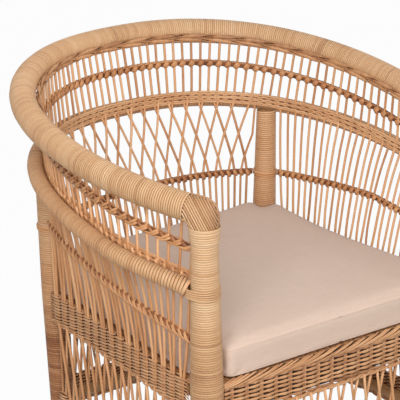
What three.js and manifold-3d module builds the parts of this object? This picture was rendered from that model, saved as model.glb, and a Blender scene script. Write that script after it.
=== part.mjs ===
// Tub armchair of bound cane: four posts, a thick rim, a lower arm hoop, woven walls and a loose cushion.
// Millimetres, +Z up, the front faces -Y, and left is -X. The floor is z = 0.
import * as THREE from "three";
import { mergeVertices } from "three/addons/utils/BufferGeometryUtils.js";
import Module from "manifold-3d";

const wasm = await Module();
wasm.setup();

// Clearance between pieces that touch, and the distance at which points count as one
const FIT = 0.3;
const WELD = 1e-4;
const SMALLEST_STEP = 0.02; // cut edges shorter than this are merged away

// Seat plan and post lean: the spreads are between post axes at seat height
const SEAT_HEIGHT = 400;
const FRONT_SPREAD = 542;
const REAR_SPREAD = 480;
const FRONT_POST_Y = -250;
const POST_DEPTH = 494; // from front axis to rear axis
const FRONT_SPLAY = 0.02; // outward lean, per millimetre of height
const REAR_SPLAY = 0.036;
const REAR_RAKE = 0.03; // backward lean

// Post poles, and the thickness of their binding from the foot up
const FRONT_POLE_RADIUS = 17;
const REAR_POLE_RADIUS = 13.5;
const BARE_FOOT = 14; // height of bare pole under the binding
const FRONT_FOOT_BINDING = 7;
const FRONT_SEAT_BINDING = 10;
const FRONT_NECK_BINDING = 4.8;
const COLLAR_BINDING = 7.6;
const COLLAR_HEIGHT = 16;
const COLLAR_TAPER = 5;
const REAR_FOOT_BINDING = 8.5;
const REAR_SEAT_BINDING = 9.5;
const REAR_NECK_BINDING = 4.5;

// Rim, measured on its centre line
const RIM_HALF_WIDTH = 350;
const RIM_WIDEST_Y = 6;
const RIM_BACK_Y = 399;
const RIM_SQUARENESS = 2.24; // 2 is an ellipse, more is squarer
const ARM_HEIGHT = 696;
const BACK_HEIGHT = 784;
const RIM_RISE = 0.92; // 1 rises evenly from front to back
const RIM_POLE_RADIUS = 17;
const RIM_BINDING = 5.6;
const CAP_BEND = 28; // bend radius of the arm cap
const CAP_SWELL = 11.5; // fullness of the cap on the outside of its bend

// Arm hoop, measured on its centre line
const HOOP_HALF_WIDTH = 350;
const HOOP_WIDEST_Y = -64;
const HOOP_BACK_Y = 367;
const HOOP_SQUARENESS = 2.356;
const HOOP_STANDOFF = 16; // hoop end beside the front post's axis
const HOOP_LAP = 14; // hoop end behind the front post's axis
const HOOP_FRONT_DROP = 135; // below the rim, at the front and at the back
const HOOP_BACK_DROP = 127;
const HOOP_RISE = 0.6;
const HOOP_POLE_RADIUS = 10.5;
const HOOP_BINDING = 4.2;
const SADDLE = 0.5; // the rear posts rise to this share of the hoop's radius below its centre line
const LASHING_WIDTH = 18;
const LASHING_THICKNESS = 3;

// Woven courses
const BAND_HEIGHT = 27; // triple band inside the hoop
const BAND_THICKNESS = 8;
const BAND_LIFT = 9;
const BORDER_HEIGHT = 14; // braid along the inside of the rim
const BORDER_THICKNESS = 8;
const BORDER_DROP = 6.5; // below the rim's centre line
const BORDER_BACK = 6; // behind the arm cap
const COURSE_HEIGHT = 12; // single twined courses
const COURSE_THICKNESS = 11;
const GALLERY_COURSE_FRONT = 0.42; // place of a course between the foot and the head of its stakes
const GALLERY_COURSE_BACK = 0.58;
const SIDE_COURSE = 0.48;
const BACK_COURSE = 0.45;

// Stakes
const STAKE_RADIUS = 2.7;
const GALLERY_STAKES = 54;
const SIDE_PAIRS = 10;
const BACK_PAIRS = 12;
const SKIRT_PITCH = 40;
const PAIR_GAP = 7.5; // between the two stakes of a pair at the seat
const PAIR_SPREAD = 0.25; // of the pitch, from a pair's middle to each stake where they stand evenly
const LAYER_OFFSET = 3.1; // crossing stakes lie this far to either side
const LATTICE_SHIFT = 1.5; // sideways run of a back stake, in pairs
const SKIRT_SHIFT = 1.1; // sideways run of a skirt stake, in pairs
const SIDE_FLARE = 1.6; // 1 leans straight out to the hoop, more leaves the seat upright
const BACK_FLARE = 1.15;
const POST_MARGIN = 9; // between a post's binding and the nearest stake

// Seat bands, lower bands, rails and deck
const FRONT_BAND_HEIGHT = 68;
const SIDE_BAND_HEIGHT = 52;
const SEAT_BAND_THICKNESS = 12;
const FRONT_BAND_OFFSET = 8; // outward from the line of the post axes
const FRONT_BAND_BOW = 9;
const SIDE_BAND_OFFSET = 19;
const LOWER_BAND_TOP = 210;
const LOWER_BAND_HEIGHT = 58;
const SEAT_RAIL_RADIUS = 12;
const LOWER_RAIL_RADIUS = 10;
const DECK_THICKNESS = 10;

// Cushion
const CUSHION_THICKNESS = 52;
const CUSHION_CROWN = 8;
const CUSHION_FRONT_OVERHANG = 12; // past the line of the front post axes
const CUSHION_BACK_OVERHANG = 12;
const CUSHION_SIDE_OVERHANG = 11;
const CUSHION_DRAW_IN = 4;
const CUSHION_FRONT_CLEARANCE = 9; // round the posts
const CUSHION_REAR_CLEARANCE = 3;
const CUSHION_CORNER = 14;
// The cushion's section from the bottom up: distance in from the outline, share of thickness, share of crown
const CUSHION_SECTION = [
  [120, 0, 0],
  [14, 0, 0],
  [4, 0.08, 0],
  [0, 0.26, 0],
  [1.5, 0.5, 0],
  [0, 0.74, 0],
  [4, 0.92, 0],
  [14, 1, 0],
  [60, 1, 0.55],
  [130, 1, 0.88],
  [200, 1, 1],
];
const COVER_THICKNESS = 2;
const ZIP_LENGTH = 320;
const ZIP_HEIGHT = 10;

// Fineness of the round and swept shapes
const POST_SIDES = 12;
const TUBE_SIDES = 12;
const POLE_SIDES = 6;
const RAIL_SIDES = 8;
const STAKE_SIDES = 3;
const SIDE_STAKE_STEPS = 2;
const RIM_STEPS = 36;
const HOOP_STEPS = 32;
const BAND_STEPS = 36;
const BOW_STEPS = 8;
const CAP_STEPS = 8;
const CUSHION_POINTS = 48;
const CURVE_SAMPLES = 40;
const RUN_SAMPLES = 240;
const HALVINGS = 40; // of the search for a place on a curve
const QUARTER_ARC = 0.5523; // handle of a cubic curve that follows a quarter circle of radius 1

// Colours of cane, woven courses and cloth
const BINDING = new THREE.MeshStandardMaterial({ color: 0xd9b283, roughness: 0.55, metalness: 0 });
const POLE = new THREE.MeshStandardMaterial({ color: 0xb98a55, roughness: 0.6, metalness: 0 });
const STAKE = new THREE.MeshStandardMaterial({ color: 0xcf9a68, roughness: 0.55, metalness: 0 });
const WEAVE = new THREE.MeshStandardMaterial({ color: 0xc08a58, roughness: 0.6, metalness: 0 });
const CLOTH = new THREE.MeshStandardMaterial({ color: 0xd3bba8, roughness: 0.95, metalness: 0 });
const FOAM = new THREE.MeshStandardMaterial({ color: 0xe9e2c8, roughness: 0.9, metalness: 0 });
const ZIP = new THREE.MeshStandardMaterial({ color: 0xb9a391, roughness: 0.7, metalness: 0 });

// Solids: a geometry as a solid and back, joined and cut

function solid(geometry) {
  const loose = geometry.index ? geometry.toNonIndexed() : geometry;
  const shell = new THREE.BufferGeometry().setAttribute("position", loose.getAttribute("position"));
  const merged = mergeVertices(shell, WELD);
  const triVerts = new Uint32Array(merged.index.array);
  const vertProperties = merged.attributes.position.array;
  return new wasm.Manifold(new wasm.Mesh({ numProp: 3, vertProperties, triVerts }));
}

function geometryOf(body) {
  const mesh = body.simplify(SMALLEST_STEP).getMesh();
  const geometry = new THREE.BufferGeometry();
  geometry.setAttribute("position", new THREE.BufferAttribute(mesh.vertProperties, 3));
  geometry.setIndex(new THREE.BufferAttribute(mesh.triVerts, 1));
  return geometry;
}

function joined(geometries) {
  return geometries.map(solid).reduce((whole, piece) => whole.add(piece));
}

// The largest piece that is left of a body once the tools are cut away
function trimmed(body, tools) {
  const rest = tools.reduce((left, tool) => left.subtract(tool), body);
  const pieces = rest.decompose();
  return pieces.reduce((most, piece) => (piece.volume() > most.volume() ? piece : most));
}

// A closed surface through rings of points, each end closed by a fan round its middle
function loft(rings) {
  const count = rings[0].length;
  const points = rings.flat();
  const faces = [];
  for (let ring = 0; ring + 1 < rings.length; ring++) {
    for (let i = 0; i < count; i++) {
      const a = ring * count + i;
      const b = ring * count + ((i + 1) % count);
      faces.push(a, b, b + count, a, b + count, a + count);
    }
  }
  const middle = (ring) => ring.reduce((sum, p) => sum.add(p), new THREE.Vector3()).divideScalar(count);
  const first = points.push(middle(rings[0])) - 1;
  const last = points.push(middle(rings[rings.length - 1])) - 1;
  const start = (rings.length - 1) * count;
  for (let i = 0; i < count; i++) {
    const next = (i + 1) % count;
    faces.push(first, next, i);
    faces.push(last, start + i, start + next);
  }
  const geometry = new THREE.BufferGeometry().setFromPoints(points);
  geometry.setIndex(faces);
  return geometry;
}

// Curves

// A horseshoe from its left front end round the back to its right front end
function horseshoe(shape) {
  const { halfWidth, widestY, backY, squareness, frontX, frontY, frontZ, backZ, rise } = shape;
  const left = [];
  const place = (x, y) => {
    const run = (y - frontY) / (backY - frontY);
    left.push(new THREE.Vector3(-x, y, frontZ + (backZ - frontZ) * run ** rise));
  };
  for (let i = 0; i <= CURVE_SAMPLES; i++) {
    const ahead = 1 - i / CURVE_SAMPLES;
    place(halfWidth - (halfWidth - frontX) * ahead ** 2, widestY - (widestY - frontY) * ahead);
  }
  for (let i = 1; i <= CURVE_SAMPLES; i++) {
    const angle = ((i / CURVE_SAMPLES) * Math.PI) / 2;
    const x = halfWidth * Math.max(Math.cos(angle), 0) ** (2 / squareness);
    place(x, widestY + (backY - widestY) * Math.sin(angle) ** (2 / squareness));
  }
  const right = left.slice(0, -1).reverse();
  return smooth([...left, ...right.map((p) => new THREE.Vector3(-p.x, p.y, p.z))]);
}

function smooth(points) {
  const curve = new THREE.CatmullRomCurve3(points, false, "centripetal");
  curve.arcLengthDivisions = points.length * 8;
  return curve;
}

function pointsAlong(curve, from, to, steps) {
  return Array.from({ length: steps + 1 }, (_, i) => curve.getPointAt(from + ((to - from) * i) / steps));
}

// Level direction to the inside of a horseshoe at a share of its length
function inward(curve, share) {
  const along = curve.getTangentAt(share);
  return new THREE.Vector3(along.y, -along.x, 0).normalize();
}

function shifted(curve, inset, lift) {
  const shares = Array.from({ length: 2 * CURVE_SAMPLES + 1 }, (_, i) => i / (2 * CURVE_SAMPLES));
  return smooth(
    shares.map((share) => {
      const point = curve.getPointAt(share).addScaledVector(inward(curve, share), inset);
      return point.setZ(point.z + lift);
    }),
  );
}

// Share of a curve's left half at which a test of its point turns true
function shareWhere(curve, passed) {
  let low = 0;
  let high = 0.5;
  for (let i = 0; i < HALVINGS; i++) {
    const mid = (low + high) / 2;
    if (passed(curve.getPointAt(mid))) high = mid;
    else low = mid;
  }
  return high;
}

function polygon(radius, sides) {
  return Array.from({ length: sides }, (_, i) => {
    const angle = (i * 2 * Math.PI) / sides;
    return new THREE.Vector2(radius * Math.cos(angle), radius * Math.sin(angle));
  });
}

// Round bar along a curve, with a bore for a pole where one is given
function bar(extrudePath, radius, sides, steps, bore = 0) {
  const section = new THREE.Shape(polygon(radius, sides));
  if (bore) section.holes.push(new THREE.Path(polygon(bore, POLE_SIDES)));
  return new THREE.ExtrudeGeometry(section, { steps, extrudePath, bevelEnabled: false });
}

// Upright flat band along points, height and thickness centred on them
function ribbon(points, height, thickness) {
  const rings = points.map((point, i) => {
    const before = points[Math.max(i - 1, 0)];
    const after = points[Math.min(i + 1, points.length - 1)];
    const across = new THREE.Vector3(after.y - before.y, before.x - after.x, 0).normalize();
    const corner = (side, end) => {
      const place = point.clone().addScaledVector(across, (side * thickness) / 2);
      return place.setZ(place.z + (end * height) / 2);
    };
    return [corner(-1, -1), corner(-1, 1), corner(1, 1), corner(1, -1)];
  });
  return loft(rings);
}

function stake(points, steps) {
  return bar(smooth(points), STAKE_RADIUS, STAKE_SIDES, steps);
}

// Posts: round and upright in section, leaning by a shear so that the feet stand flat

const rimRadius = RIM_POLE_RADIUS + FIT + RIM_BINDING;
const hoopRadius = HOOP_POLE_RADIUS + FIT + HOOP_BINDING;
const frontTop = ARM_HEIGHT - CAP_BEND - FIT;
const frontY = FRONT_POST_Y;
const rearY = frontY + POST_DEPTH;

function frontPost(side) {
  const binding = [
    [BARE_FOOT, FRONT_FOOT_BINDING],
    [SEAT_HEIGHT, FRONT_SEAT_BINDING],
    [frontTop - COLLAR_HEIGHT - COLLAR_TAPER, FRONT_NECK_BINDING],
    [frontTop - COLLAR_HEIGHT, COLLAR_BINDING],
    [frontTop, COLLAR_BINDING],
  ];
  const lean = { x: side * FRONT_SPLAY, y: 0 };
  return { x: (side * FRONT_SPREAD) / 2, y: frontY, lean, top: frontTop, pole: FRONT_POLE_RADIUS, binding };
}

function rearPost(side, top) {
  const binding = [
    [BARE_FOOT, REAR_FOOT_BINDING],
    [SEAT_HEIGHT, REAR_SEAT_BINDING],
    [top, REAR_NECK_BINDING],
  ];
  const lean = { x: side * REAR_SPLAY, y: REAR_RAKE };
  return { x: (side * REAR_SPREAD) / 2, y: rearY, lean, top, pole: REAR_POLE_RADIUS, binding };
}

function axisOf(post, z) {
  const rise = z - SEAT_HEIGHT;
  return new THREE.Vector3(post.x + post.lean.x * rise, post.y + post.lean.y * rise, z);
}

function boundRadius(post, z) {
  const turns = post.binding;
  let i = 0;
  while (i + 2 < turns.length && z > turns[i + 1][0]) i++;
  const [[z0, t0], [z1, t1]] = [turns[i], turns[i + 1]];
  const share = Math.min(Math.max((z - z0) / (z1 - z0), 0), 1);
  return post.pole + FIT + t0 + (t1 - t0) * share;
}

// A turned profile of [radius, height] pairs, set on a post's leaning axis
function turned(post, profile) {
  const outline = profile.map(([radius, z]) => new THREE.Vector2(radius, z));
  const geometry = new THREE.LatheGeometry(outline, POST_SIDES).rotateX(Math.PI / 2);
  const { x, y, lean } = post;
  const shear = new THREE.Matrix4().set(
    1, 0, lean.x, x - lean.x * SEAT_HEIGHT,
    0, 1, lean.y, y - lean.y * SEAT_HEIGHT,
    0, 0, 1, 0,
    0, 0, 0, 1,
  );
  return geometry.applyMatrix4(shear);
}

function postPole(post) {
  return turned(post, [[0, 0], [post.pole, 0], [post.pole, post.top], [0, post.top]]);
}

function postBinding(post) {
  const bore = post.pole + FIT;
  const outside = post.binding.map(([z, thickness]) => [bore + thickness, z]);
  return turned(post, [[bore, BARE_FOOT], ...outside, [bore, post.top], [bore, BARE_FOOT]]);
}

// The room that a post and its binding take, grown all round
function postRoom(post, grow) {
  const bore = post.pole + FIT;
  const outside = post.binding.map(([z, thickness]) => [bore + thickness + grow, z]);
  const foot = outside[0][0];
  const head = outside[outside.length - 1][0];
  return solid(turned(post, [[0, 0], [foot, 0], ...outside, [head, post.top + grow], [0, post.top + grow]]));
}

function ringOn(post, z, width, thickness) {
  const low = z - width / 2;
  const high = z + width / 2;
  const bends = post.binding.map(([height]) => height).filter((height) => height > low && height < high);
  const inside = [low, ...bends, high].map((height) => [boundRadius(post, height) + FIT, height]);
  const outside = inside.map(([radius, height]) => [radius + thickness, height]);
  return turned(post, [inside[0], ...outside, ...[...inside].reverse()]);
}

const frontLeft = frontPost(-1);
const frontRight = frontPost(1);
const capFoot = axisOf(frontRight, ARM_HEIGHT - CAP_BEND);

// Rim, from front post to front post
const rim = horseshoe({
  halfWidth: RIM_HALF_WIDTH,
  widestY: RIM_WIDEST_Y,
  backY: RIM_BACK_Y,
  squareness: RIM_SQUARENESS,
  frontX: capFoot.x,
  frontY,
  frontZ: ARM_HEIGHT,
  backZ: BACK_HEIGHT,
  rise: RIM_RISE,
});
const rimEnd = shareWhere(rim, (p) => Math.hypot(p.x + capFoot.x, p.y - capFoot.y) > CAP_BEND);

// Hoop, over the rear posts
const hoopFront = ARM_HEIGHT - HOOP_FRONT_DROP;
const hoopBack = BACK_HEIGHT - HOOP_BACK_DROP;
const rearHead = axisOf(rearPost(1, hoopBack), hoopBack - hoopRadius);

const hoop = horseshoe({
  halfWidth: HOOP_HALF_WIDTH,
  widestY: HOOP_WIDEST_Y,
  backY: HOOP_BACK_Y,
  squareness: HOOP_SQUARENESS,
  frontX: axisOf(frontRight, hoopFront).x + HOOP_STANDOFF,
  frontY: frontY + HOOP_LAP,
  frontZ: hoopFront,
  backZ: hoopBack,
  rise: HOOP_RISE,
});
const hoopOverRear = shareWhere(hoop, (p) => p.y > rearHead.y);
const rearTop = hoop.getPointAt(hoopOverRear).z - SADDLE * hoopRadius;
const rearLeft = rearPost(-1, rearTop);
const rearRight = rearPost(1, rearTop);
const posts = { front_left: frontLeft, front_right: frontRight, rear_left: rearLeft, rear_right: rearRight };
const postRooms = Object.values(posts).map((post) => postRoom(post, FIT));
const frontLashedRooms = [frontLeft, frontRight].map((post) => postRoom(post, LASHING_THICKNESS + 2 * FIT));

// Courses that follow the rim and the hoop
const band = shifted(hoop, hoopRadius + FIT + BAND_THICKNESS / 2, BAND_LIFT);
const border = shifted(rim, rimRadius + FIT + BORDER_THICKNESS / 2, -BORDER_DROP);

const borderStart = rimEnd + BORDER_BACK / rim.getLength();

function bandRibbon(grow, widen) {
  return ribbon(pointsAlong(band, 0, 1, BAND_STEPS), BAND_HEIGHT + 2 * grow, BAND_THICKNESS + 2 * widen);
}

function borderRibbon(grow, widen) {
  const points = pointsAlong(border, borderStart, 1 - borderStart, BAND_STEPS);
  return ribbon(points, BORDER_HEIGHT + 2 * grow, BORDER_THICKNESS + 2 * widen);
}

const hoopRoom = solid(bar(hoop, hoopRadius + FIT, TUBE_SIDES, HOOP_STEPS));
const bandRoom = solid(bandRibbon(FIT, FIT));

// Where stakes stop: the courses that they stand on or reach up to, wide enough for both layers
const stopWidth = LAYER_OFFSET + 2 * STAKE_RADIUS;
const bandStop = solid(bandRibbon(FIT, stopWidth));
const borderStop = solid(borderRibbon(FIT, stopWidth));

function between(from, to, share) {
  return from + (to - from) * share;
}

// A course runs on past its end stakes, into the posts that it is tied to
function toPosts(points) {
  const beyond = (end, before) => {
    const way = new THREE.Vector3().subVectors(end, before).normalize();
    return end.clone().addScaledVector(way, 2 * POST_MARGIN);
  };
  const last = points.length - 1;
  return [beyond(points[0], points[1]), ...points, beyond(points[last], points[last - 1])];
}

// Gallery: upright stakes from the triple band to the border braid, and their course
function gallery() {
  const clear = (curve, post, reach) => shareWhere(curve, (p) => {
    const axis = axisOf(post, p.z);
    return p.y > axis.y && Math.hypot(p.x - axis.x, p.y - axis.y) > boundRadius(post, p.z) + reach;
  });
  const footStart = clear(band, frontLeft, POST_MARGIN);
  const headStart = Math.max(clear(border, frontLeft, POST_MARGIN), rimEnd);
  const foot = (share) => band.getPointAt(between(footStart, 1 - footStart, share));
  const head = (share) => border.getPointAt(between(headStart, 1 - headStart, share));
  const stakes = Array.from({ length: GALLERY_STAKES }, (_, i) => {
    const share = i / (GALLERY_STAKES - 1);
    return stake([foot(share), head(share)], 1);
  });
  const course = Array.from({ length: BAND_STEPS + 1 }, (_, i) => {
    const share = i / BAND_STEPS;
    const place = between(GALLERY_COURSE_FRONT, GALLERY_COURSE_BACK, Math.sin(Math.PI * share));
    return foot(share).lerp(head(share), place);
  });
  const body = joined([...stakes, ribbon(toPosts(course), COURSE_HEIGHT, COURSE_THICKNESS)]);
  return geometryOf(trimmed(body, [bandStop, borderStop, ...postRooms]));
}

// Sides of the seat: a straight run between two posts, with the outward direction and the band there
const sides = {
  front: { from: frontLeft, to: frontRight, offset: FRONT_BAND_OFFSET, bow: FRONT_BAND_BOW },
  right: { from: frontRight, to: rearRight, offset: SIDE_BAND_OFFSET, bow: 0 },
  back: { from: rearRight, to: rearLeft, offset: SIDE_BAND_OFFSET, bow: 0 },
  left: { from: rearLeft, to: frontLeft, offset: SIDE_BAND_OFFSET, bow: 0 },
};

function bandHeightOf(name) {
  return name === "front" ? FRONT_BAND_HEIGHT : SIDE_BAND_HEIGHT;
}

// A point on a side's woven face: its share of the run, its height, and how far out it lies
function onSide(side, share, z, out = 0) {
  const from = axisOf(side.from, z);
  const to = axisOf(side.to, z);
  const along = new THREE.Vector3().subVectors(to, from).setZ(0).normalize();
  const outward = new THREE.Vector3(along.y, -along.x, 0);
  const bulge = side.bow * Math.sin(Math.PI * share) + side.offset + out;
  return from.lerp(to, share).addScaledVector(outward, bulge);
}

function sideRun(side, z, out = 0) {
  const steps = side.bow ? BOW_STEPS : 1;
  return Array.from({ length: steps + 1 }, (_, i) => onSide(side, i / steps, z, out));
}

function seatBand(name, grow, widen) {
  const height = bandHeightOf(name);
  const run = sideRun(sides[name], SEAT_HEIGHT - height / 2);
  return ribbon(run, height + 2 * grow, SEAT_BAND_THICKNESS + 2 * widen);
}

const seatStops = Object.keys(sides).map((name) => solid(seatBand(name, FIT, stopWidth)));

// A pole between two posts, just inside the woven band of that side
function rail(name, z, radius) {
  const side = { ...sides[name], bow: 0 };
  const out = -(SEAT_BAND_THICKNESS / 2 + FIT + radius);
  return geometryOf(trimmed(solid(bar(smooth(sideRun(side, z, out)), radius, RAIL_SIDES, 1)), postRooms));
}

// Share of a side's run that a post's binding and margin take up at its start and end
function stakeSpan(side, z) {
  const length = axisOf(side.from, z).distanceTo(axisOf(side.to, z));
  const start = (boundRadius(side.from, z) + POST_MARGIN) / length;
  const end = 1 - (boundRadius(side.to, z) + POST_MARGIN) / length;
  return { start, end, length: length * (end - start) };
}

// Skirt: crossed stakes from a seat band down to the lower woven band
function skirt(name) {
  const side = sides[name];
  const top = SEAT_HEIGHT - bandHeightOf(name) / 2;
  const middle = LOWER_BAND_TOP - LOWER_BAND_HEIGHT / 2;
  const span = stakeSpan(side, middle);
  const pairs = Math.max(Math.round(span.length / SKIRT_PITCH), 2);
  const place = (share) => between(span.start, span.end, Math.min(Math.max(share, 0), 1));
  const stakes = [];
  for (let i = 0; i < pairs; i++) {
    for (const way of [-1, 1]) {
      const head = (i + 0.5) / pairs + (way * PAIR_GAP) / 2 / span.length;
      const foot = head + (way * SKIRT_SHIFT) / pairs;
      const layer = way * LAYER_OFFSET;
      stakes.push(stake([onSide(side, place(foot), middle, layer), onSide(side, place(head), top, layer)], 1));
    }
  }
  const lower = ribbon(sideRun(side, middle), LOWER_BAND_HEIGHT, SEAT_BAND_THICKNESS);
  return geometryOf(trimmed(joined([lower, ...stakes]), [...seatStops, ...postRooms]));
}

// Wall panel: a straight seat line below, the curve of the triple band above
function wallPanel(name, headFrom, headTo, flare, coursePlace) {
  const side = sides[name];
  const seat = SEAT_HEIGHT - bandHeightOf(name) / 2;
  const span = stakeSpan(side, SEAT_HEIGHT);
  const clamp = (share) => Math.min(Math.max(share, 0), 1);
  const at = (footShare, headShare, height, layer) => {
    const foot = onSide(side, between(span.start, span.end, clamp(footShare)), seat, layer);
    const where = between(headFrom, headTo, clamp(headShare));
    const head = band.getPointAt(where).addScaledVector(inward(band, where), -layer);
    const z = between(foot.z, head.z, height);
    return foot.lerp(head, height ** flare).setZ(z);
  };
  const seatShare = (SEAT_HEIGHT - seat) / (band.getPointAt((headFrom + headTo) / 2).z - seat);
  const courseAt = between(seatShare, 1, coursePlace);
  return { at, courseAt, length: span.length };
}

function coursed(panel, stakes) {
  const course = Array.from({ length: BAND_STEPS / 2 + 1 }, (_, i) => {
    const share = (2 * i) / BAND_STEPS;
    return panel.at(share, share, panel.courseAt, 0);
  });
  const body = joined([...stakes, ribbon(toPosts(course), COURSE_HEIGHT, COURSE_THICKNESS)]);
  return geometryOf(trimmed(body, [bandStop, ...seatStops, ...postRooms, ...frontLashedRooms]));
}

function sidePanel(name, headFrom, headTo) {
  const panel = wallPanel(name, headFrom, headTo, SIDE_FLARE, SIDE_COURSE);
  const stakes = [];
  for (let i = 0; i < SIDE_PAIRS; i++) {
    for (const way of [-1, 1]) {
      const middle = (i + 0.5) / SIDE_PAIRS;
      const foot = middle + (way * PAIR_GAP) / 2 / panel.length;
      const head = middle + (way * PAIR_SPREAD) / SIDE_PAIRS;
      const heights = [0, panel.courseAt, 1];
      stakes.push(stake(heights.map((height) => panel.at(foot, head, height, 0)), SIDE_STAKE_STEPS));
    }
  }
  return coursed(panel, stakes);
}

// The back's stakes stand straight up to their course, then cross in diamonds up to the triple band
function backPanel(headFrom, headTo) {
  const panel = wallPanel("back", headFrom, headTo, BACK_FLARE, BACK_COURSE);
  const stakes = [];
  for (let i = 0; i < BACK_PAIRS; i++) {
    for (const way of [-1, 1]) {
      const foot = (i + 0.5 - way * PAIR_SPREAD) / BACK_PAIRS;
      const head = foot + (way * LATTICE_SHIFT) / BACK_PAIRS;
      const layer = way * LAYER_OFFSET;
      const lower = stake([panel.at(foot, foot, 0, layer), panel.at(foot, foot, panel.courseAt, layer)], 1);
      const reach = [panel.courseAt, 1].map((height, turn) => {
        const share = turn ? head : foot;
        return panel.at(share, share, height, layer);
      });
      stakes.push(lower, stake(reach, 1));
    }
  }
  return coursed(panel, stakes);
}

// Share of the triple band where it comes clear of the left posts, on the way to the back
function bandPast(post) {
  return shareWhere(band, (p) => {
    const axis = axisOf(post, Math.min(p.z, post.top));
    return p.y > axis.y && Math.hypot(p.x - axis.x, p.y - axis.y) > boundRadius(post, p.z) + POST_MARGIN;
  });
}

function bandBefore(post) {
  return shareWhere(band, (p) => {
    const axis = axisOf(post, Math.min(p.z, post.top));
    return p.y > axis.y || Math.hypot(p.x - axis.x, p.y - axis.y) < boundRadius(post, p.z) + POST_MARGIN;
  });
}

// Arm cap: the rim's nose, bent down on to a front post
function armCap(post, share, way) {
  const along = rim.getTangentAt(share).multiplyScalar(way);
  const start = rim.getPointAt(share).addScaledVector(along, FIT);
  const end = axisOf(post, ARM_HEIGHT - CAP_BEND);
  const handle = QUARTER_ARC * CAP_BEND;
  const leave = start.clone().addScaledVector(along, handle);
  const arrive = end.clone().setZ(end.z + handle);
  const bend = new THREE.CubicBezierCurve3(start, leave, arrive, end);
  const across = new THREE.Vector3().crossVectors(bend.getTangent(0), bend.getTangent(1)).normalize();
  const rings = Array.from({ length: CAP_STEPS + 1 }, (_, step) => {
    const share = step / CAP_STEPS;
    const tangent = bend.getTangent(share);
    const outward = new THREE.Vector3().crossVectors(tangent, across).normalize();
    const right = new THREE.Vector3().crossVectors(tangent, outward);
    const fullness = 1 + (CAP_SWELL / rimRadius) * Math.sin(Math.PI * share) ** 2;
    return polygon(rimRadius, TUBE_SIDES).reverse().map(({ x, y }) =>
      bend.getPoint(share).addScaledVector(right, x).addScaledVector(outward, y > 0 ? y * fullness : y),
    );
  });
  return loft(rings);
}

// Seat deck: a panel cut to fit between the bands and round the posts
function deck() {
  const outline = new THREE.Shape();
  const edges = Object.values(sides).map((side) => sideRun({ ...side, bow: 0 }, SEAT_HEIGHT));
  edges.flat().forEach((p, i) => (i ? outline.lineTo(p.x, p.y) : outline.moveTo(p.x, p.y)));
  const slab = new THREE.ExtrudeGeometry(outline, { depth: DECK_THICKNESS, bevelEnabled: false });
  slab.translate(0, 0, SEAT_HEIGHT - DECK_THICKNESS);
  const bands = Object.keys(sides).map((name) => solid(seatBand(name, FIT, FIT)));
  return geometryOf(trimmed(solid(slab), [...bands, ...postRooms]));
}

// Cushion: its outline is notched for the posts, its sides draw in, and its top is crowned
function cushionOutline() {
  const z = SEAT_HEIGHT;
  const frontNotch = boundRadius(frontRight, z) + CUSHION_FRONT_CLEARANCE;
  const rearNotch = boundRadius(rearRight, z) + CUSHION_REAR_CLEARANCE;
  const frontEdge = frontY - CUSHION_FRONT_OVERHANG;
  const backEdge = rearY + CUSHION_BACK_OVERHANG;
  const sideAt = (y) => between(frontRight.x, rearRight.x, (y - frontY) / POST_DEPTH) + CUSHION_SIDE_OVERHANG;
  const frontIn = frontRight.x - frontNotch;
  const rearIn = rearRight.x - rearNotch;
  const frontBack = frontY + frontNotch;
  const rearFront = rearY - rearNotch;
  const middle = (frontBack + rearFront) / 2;
  const corners = [
    [frontIn, frontEdge],
    [frontIn, frontBack],
    [sideAt(frontBack), frontBack],
    [sideAt(middle) - CUSHION_DRAW_IN, middle],
    [sideAt(rearFront), rearFront],
    [rearIn, rearFront],
    [rearIn, backEdge],
  ];
  const start = [0, frontEdge];
  const end = [0, backEdge - CUSHION_DRAW_IN];
  const round = (from, to) => {
    const gap = Math.hypot(to[0] - from[0], to[1] - from[1]);
    const share = Math.min(CUSHION_CORNER / gap, 0.5);
    return [between(from[0], to[0], share), between(from[1], to[1], share)];
  };
  const edge = new THREE.Path().moveTo(...start);
  corners.forEach((corner, i) => {
    edge.lineTo(...round(corner, corners[i - 1] ?? start));
    edge.quadraticCurveTo(...corner, ...round(corner, corners[i + 1] ?? end));
  });
  edge.lineTo(...end);
  const right = edge.getSpacedPoints(CUSHION_POINTS / 2);
  const left = right.slice(1, -1).reverse().map((p) => new THREE.Vector2(-p.x, p.y));
  return [...right, ...left];
}

// The whole cushion, or a core of it shrunk all round
function cushionBody(shrink) {
  const outline = cushionOutline();
  const low = SEAT_HEIGHT + FIT + shrink;
  const tall = CUSHION_THICKNESS + CUSHION_CROWN;
  const squeeze = (tall - 2 * shrink) / tall;
  const rings = CUSHION_SECTION.map(([inset, side, crown]) =>
    outline.map((p) => {
      const share = 1 - (inset + shrink) / p.length();
      const z = side * CUSHION_THICKNESS + crown * CUSHION_CROWN;
      return new THREE.Vector3(p.x * share, p.y * share, low + z * squeeze);
    }),
  );
  return solid(loft(rings));
}

function cushionPieces() {
  const outer = cushionBody(0);
  const wall = outer.subtract(cushionBody(COVER_THICKNESS));
  const slot = (grow) => {
    const depth = 2 * (CUSHION_DRAW_IN + COVER_THICKNESS + CUSHION_CORNER / 2);
    const box = new THREE.BoxGeometry(ZIP_LENGTH + 2 * grow, depth, ZIP_HEIGHT + 2 * grow);
    box.translate(0, rearY + CUSHION_BACK_OVERHANG, SEAT_HEIGHT + CUSHION_THICKNESS / 2);
    return solid(box);
  };
  return {
    cushion_cover: geometryOf(wall.subtract(slot(FIT))),
    cushion_zip: geometryOf(wall.intersect(slot(0))),
    cushion_foam: geometryOf(cushionBody(COVER_THICKNESS + FIT)),
  };
}

// Assembly: the bound and woven frame, and the cushion lying in it

const frame = new THREE.Group();
const cushion = new THREE.Group();

function add(group, name, geometry, material) {
  const mesh = new THREE.Mesh(geometry, material);
  mesh.name = name;
  group.add(mesh);
}

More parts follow.
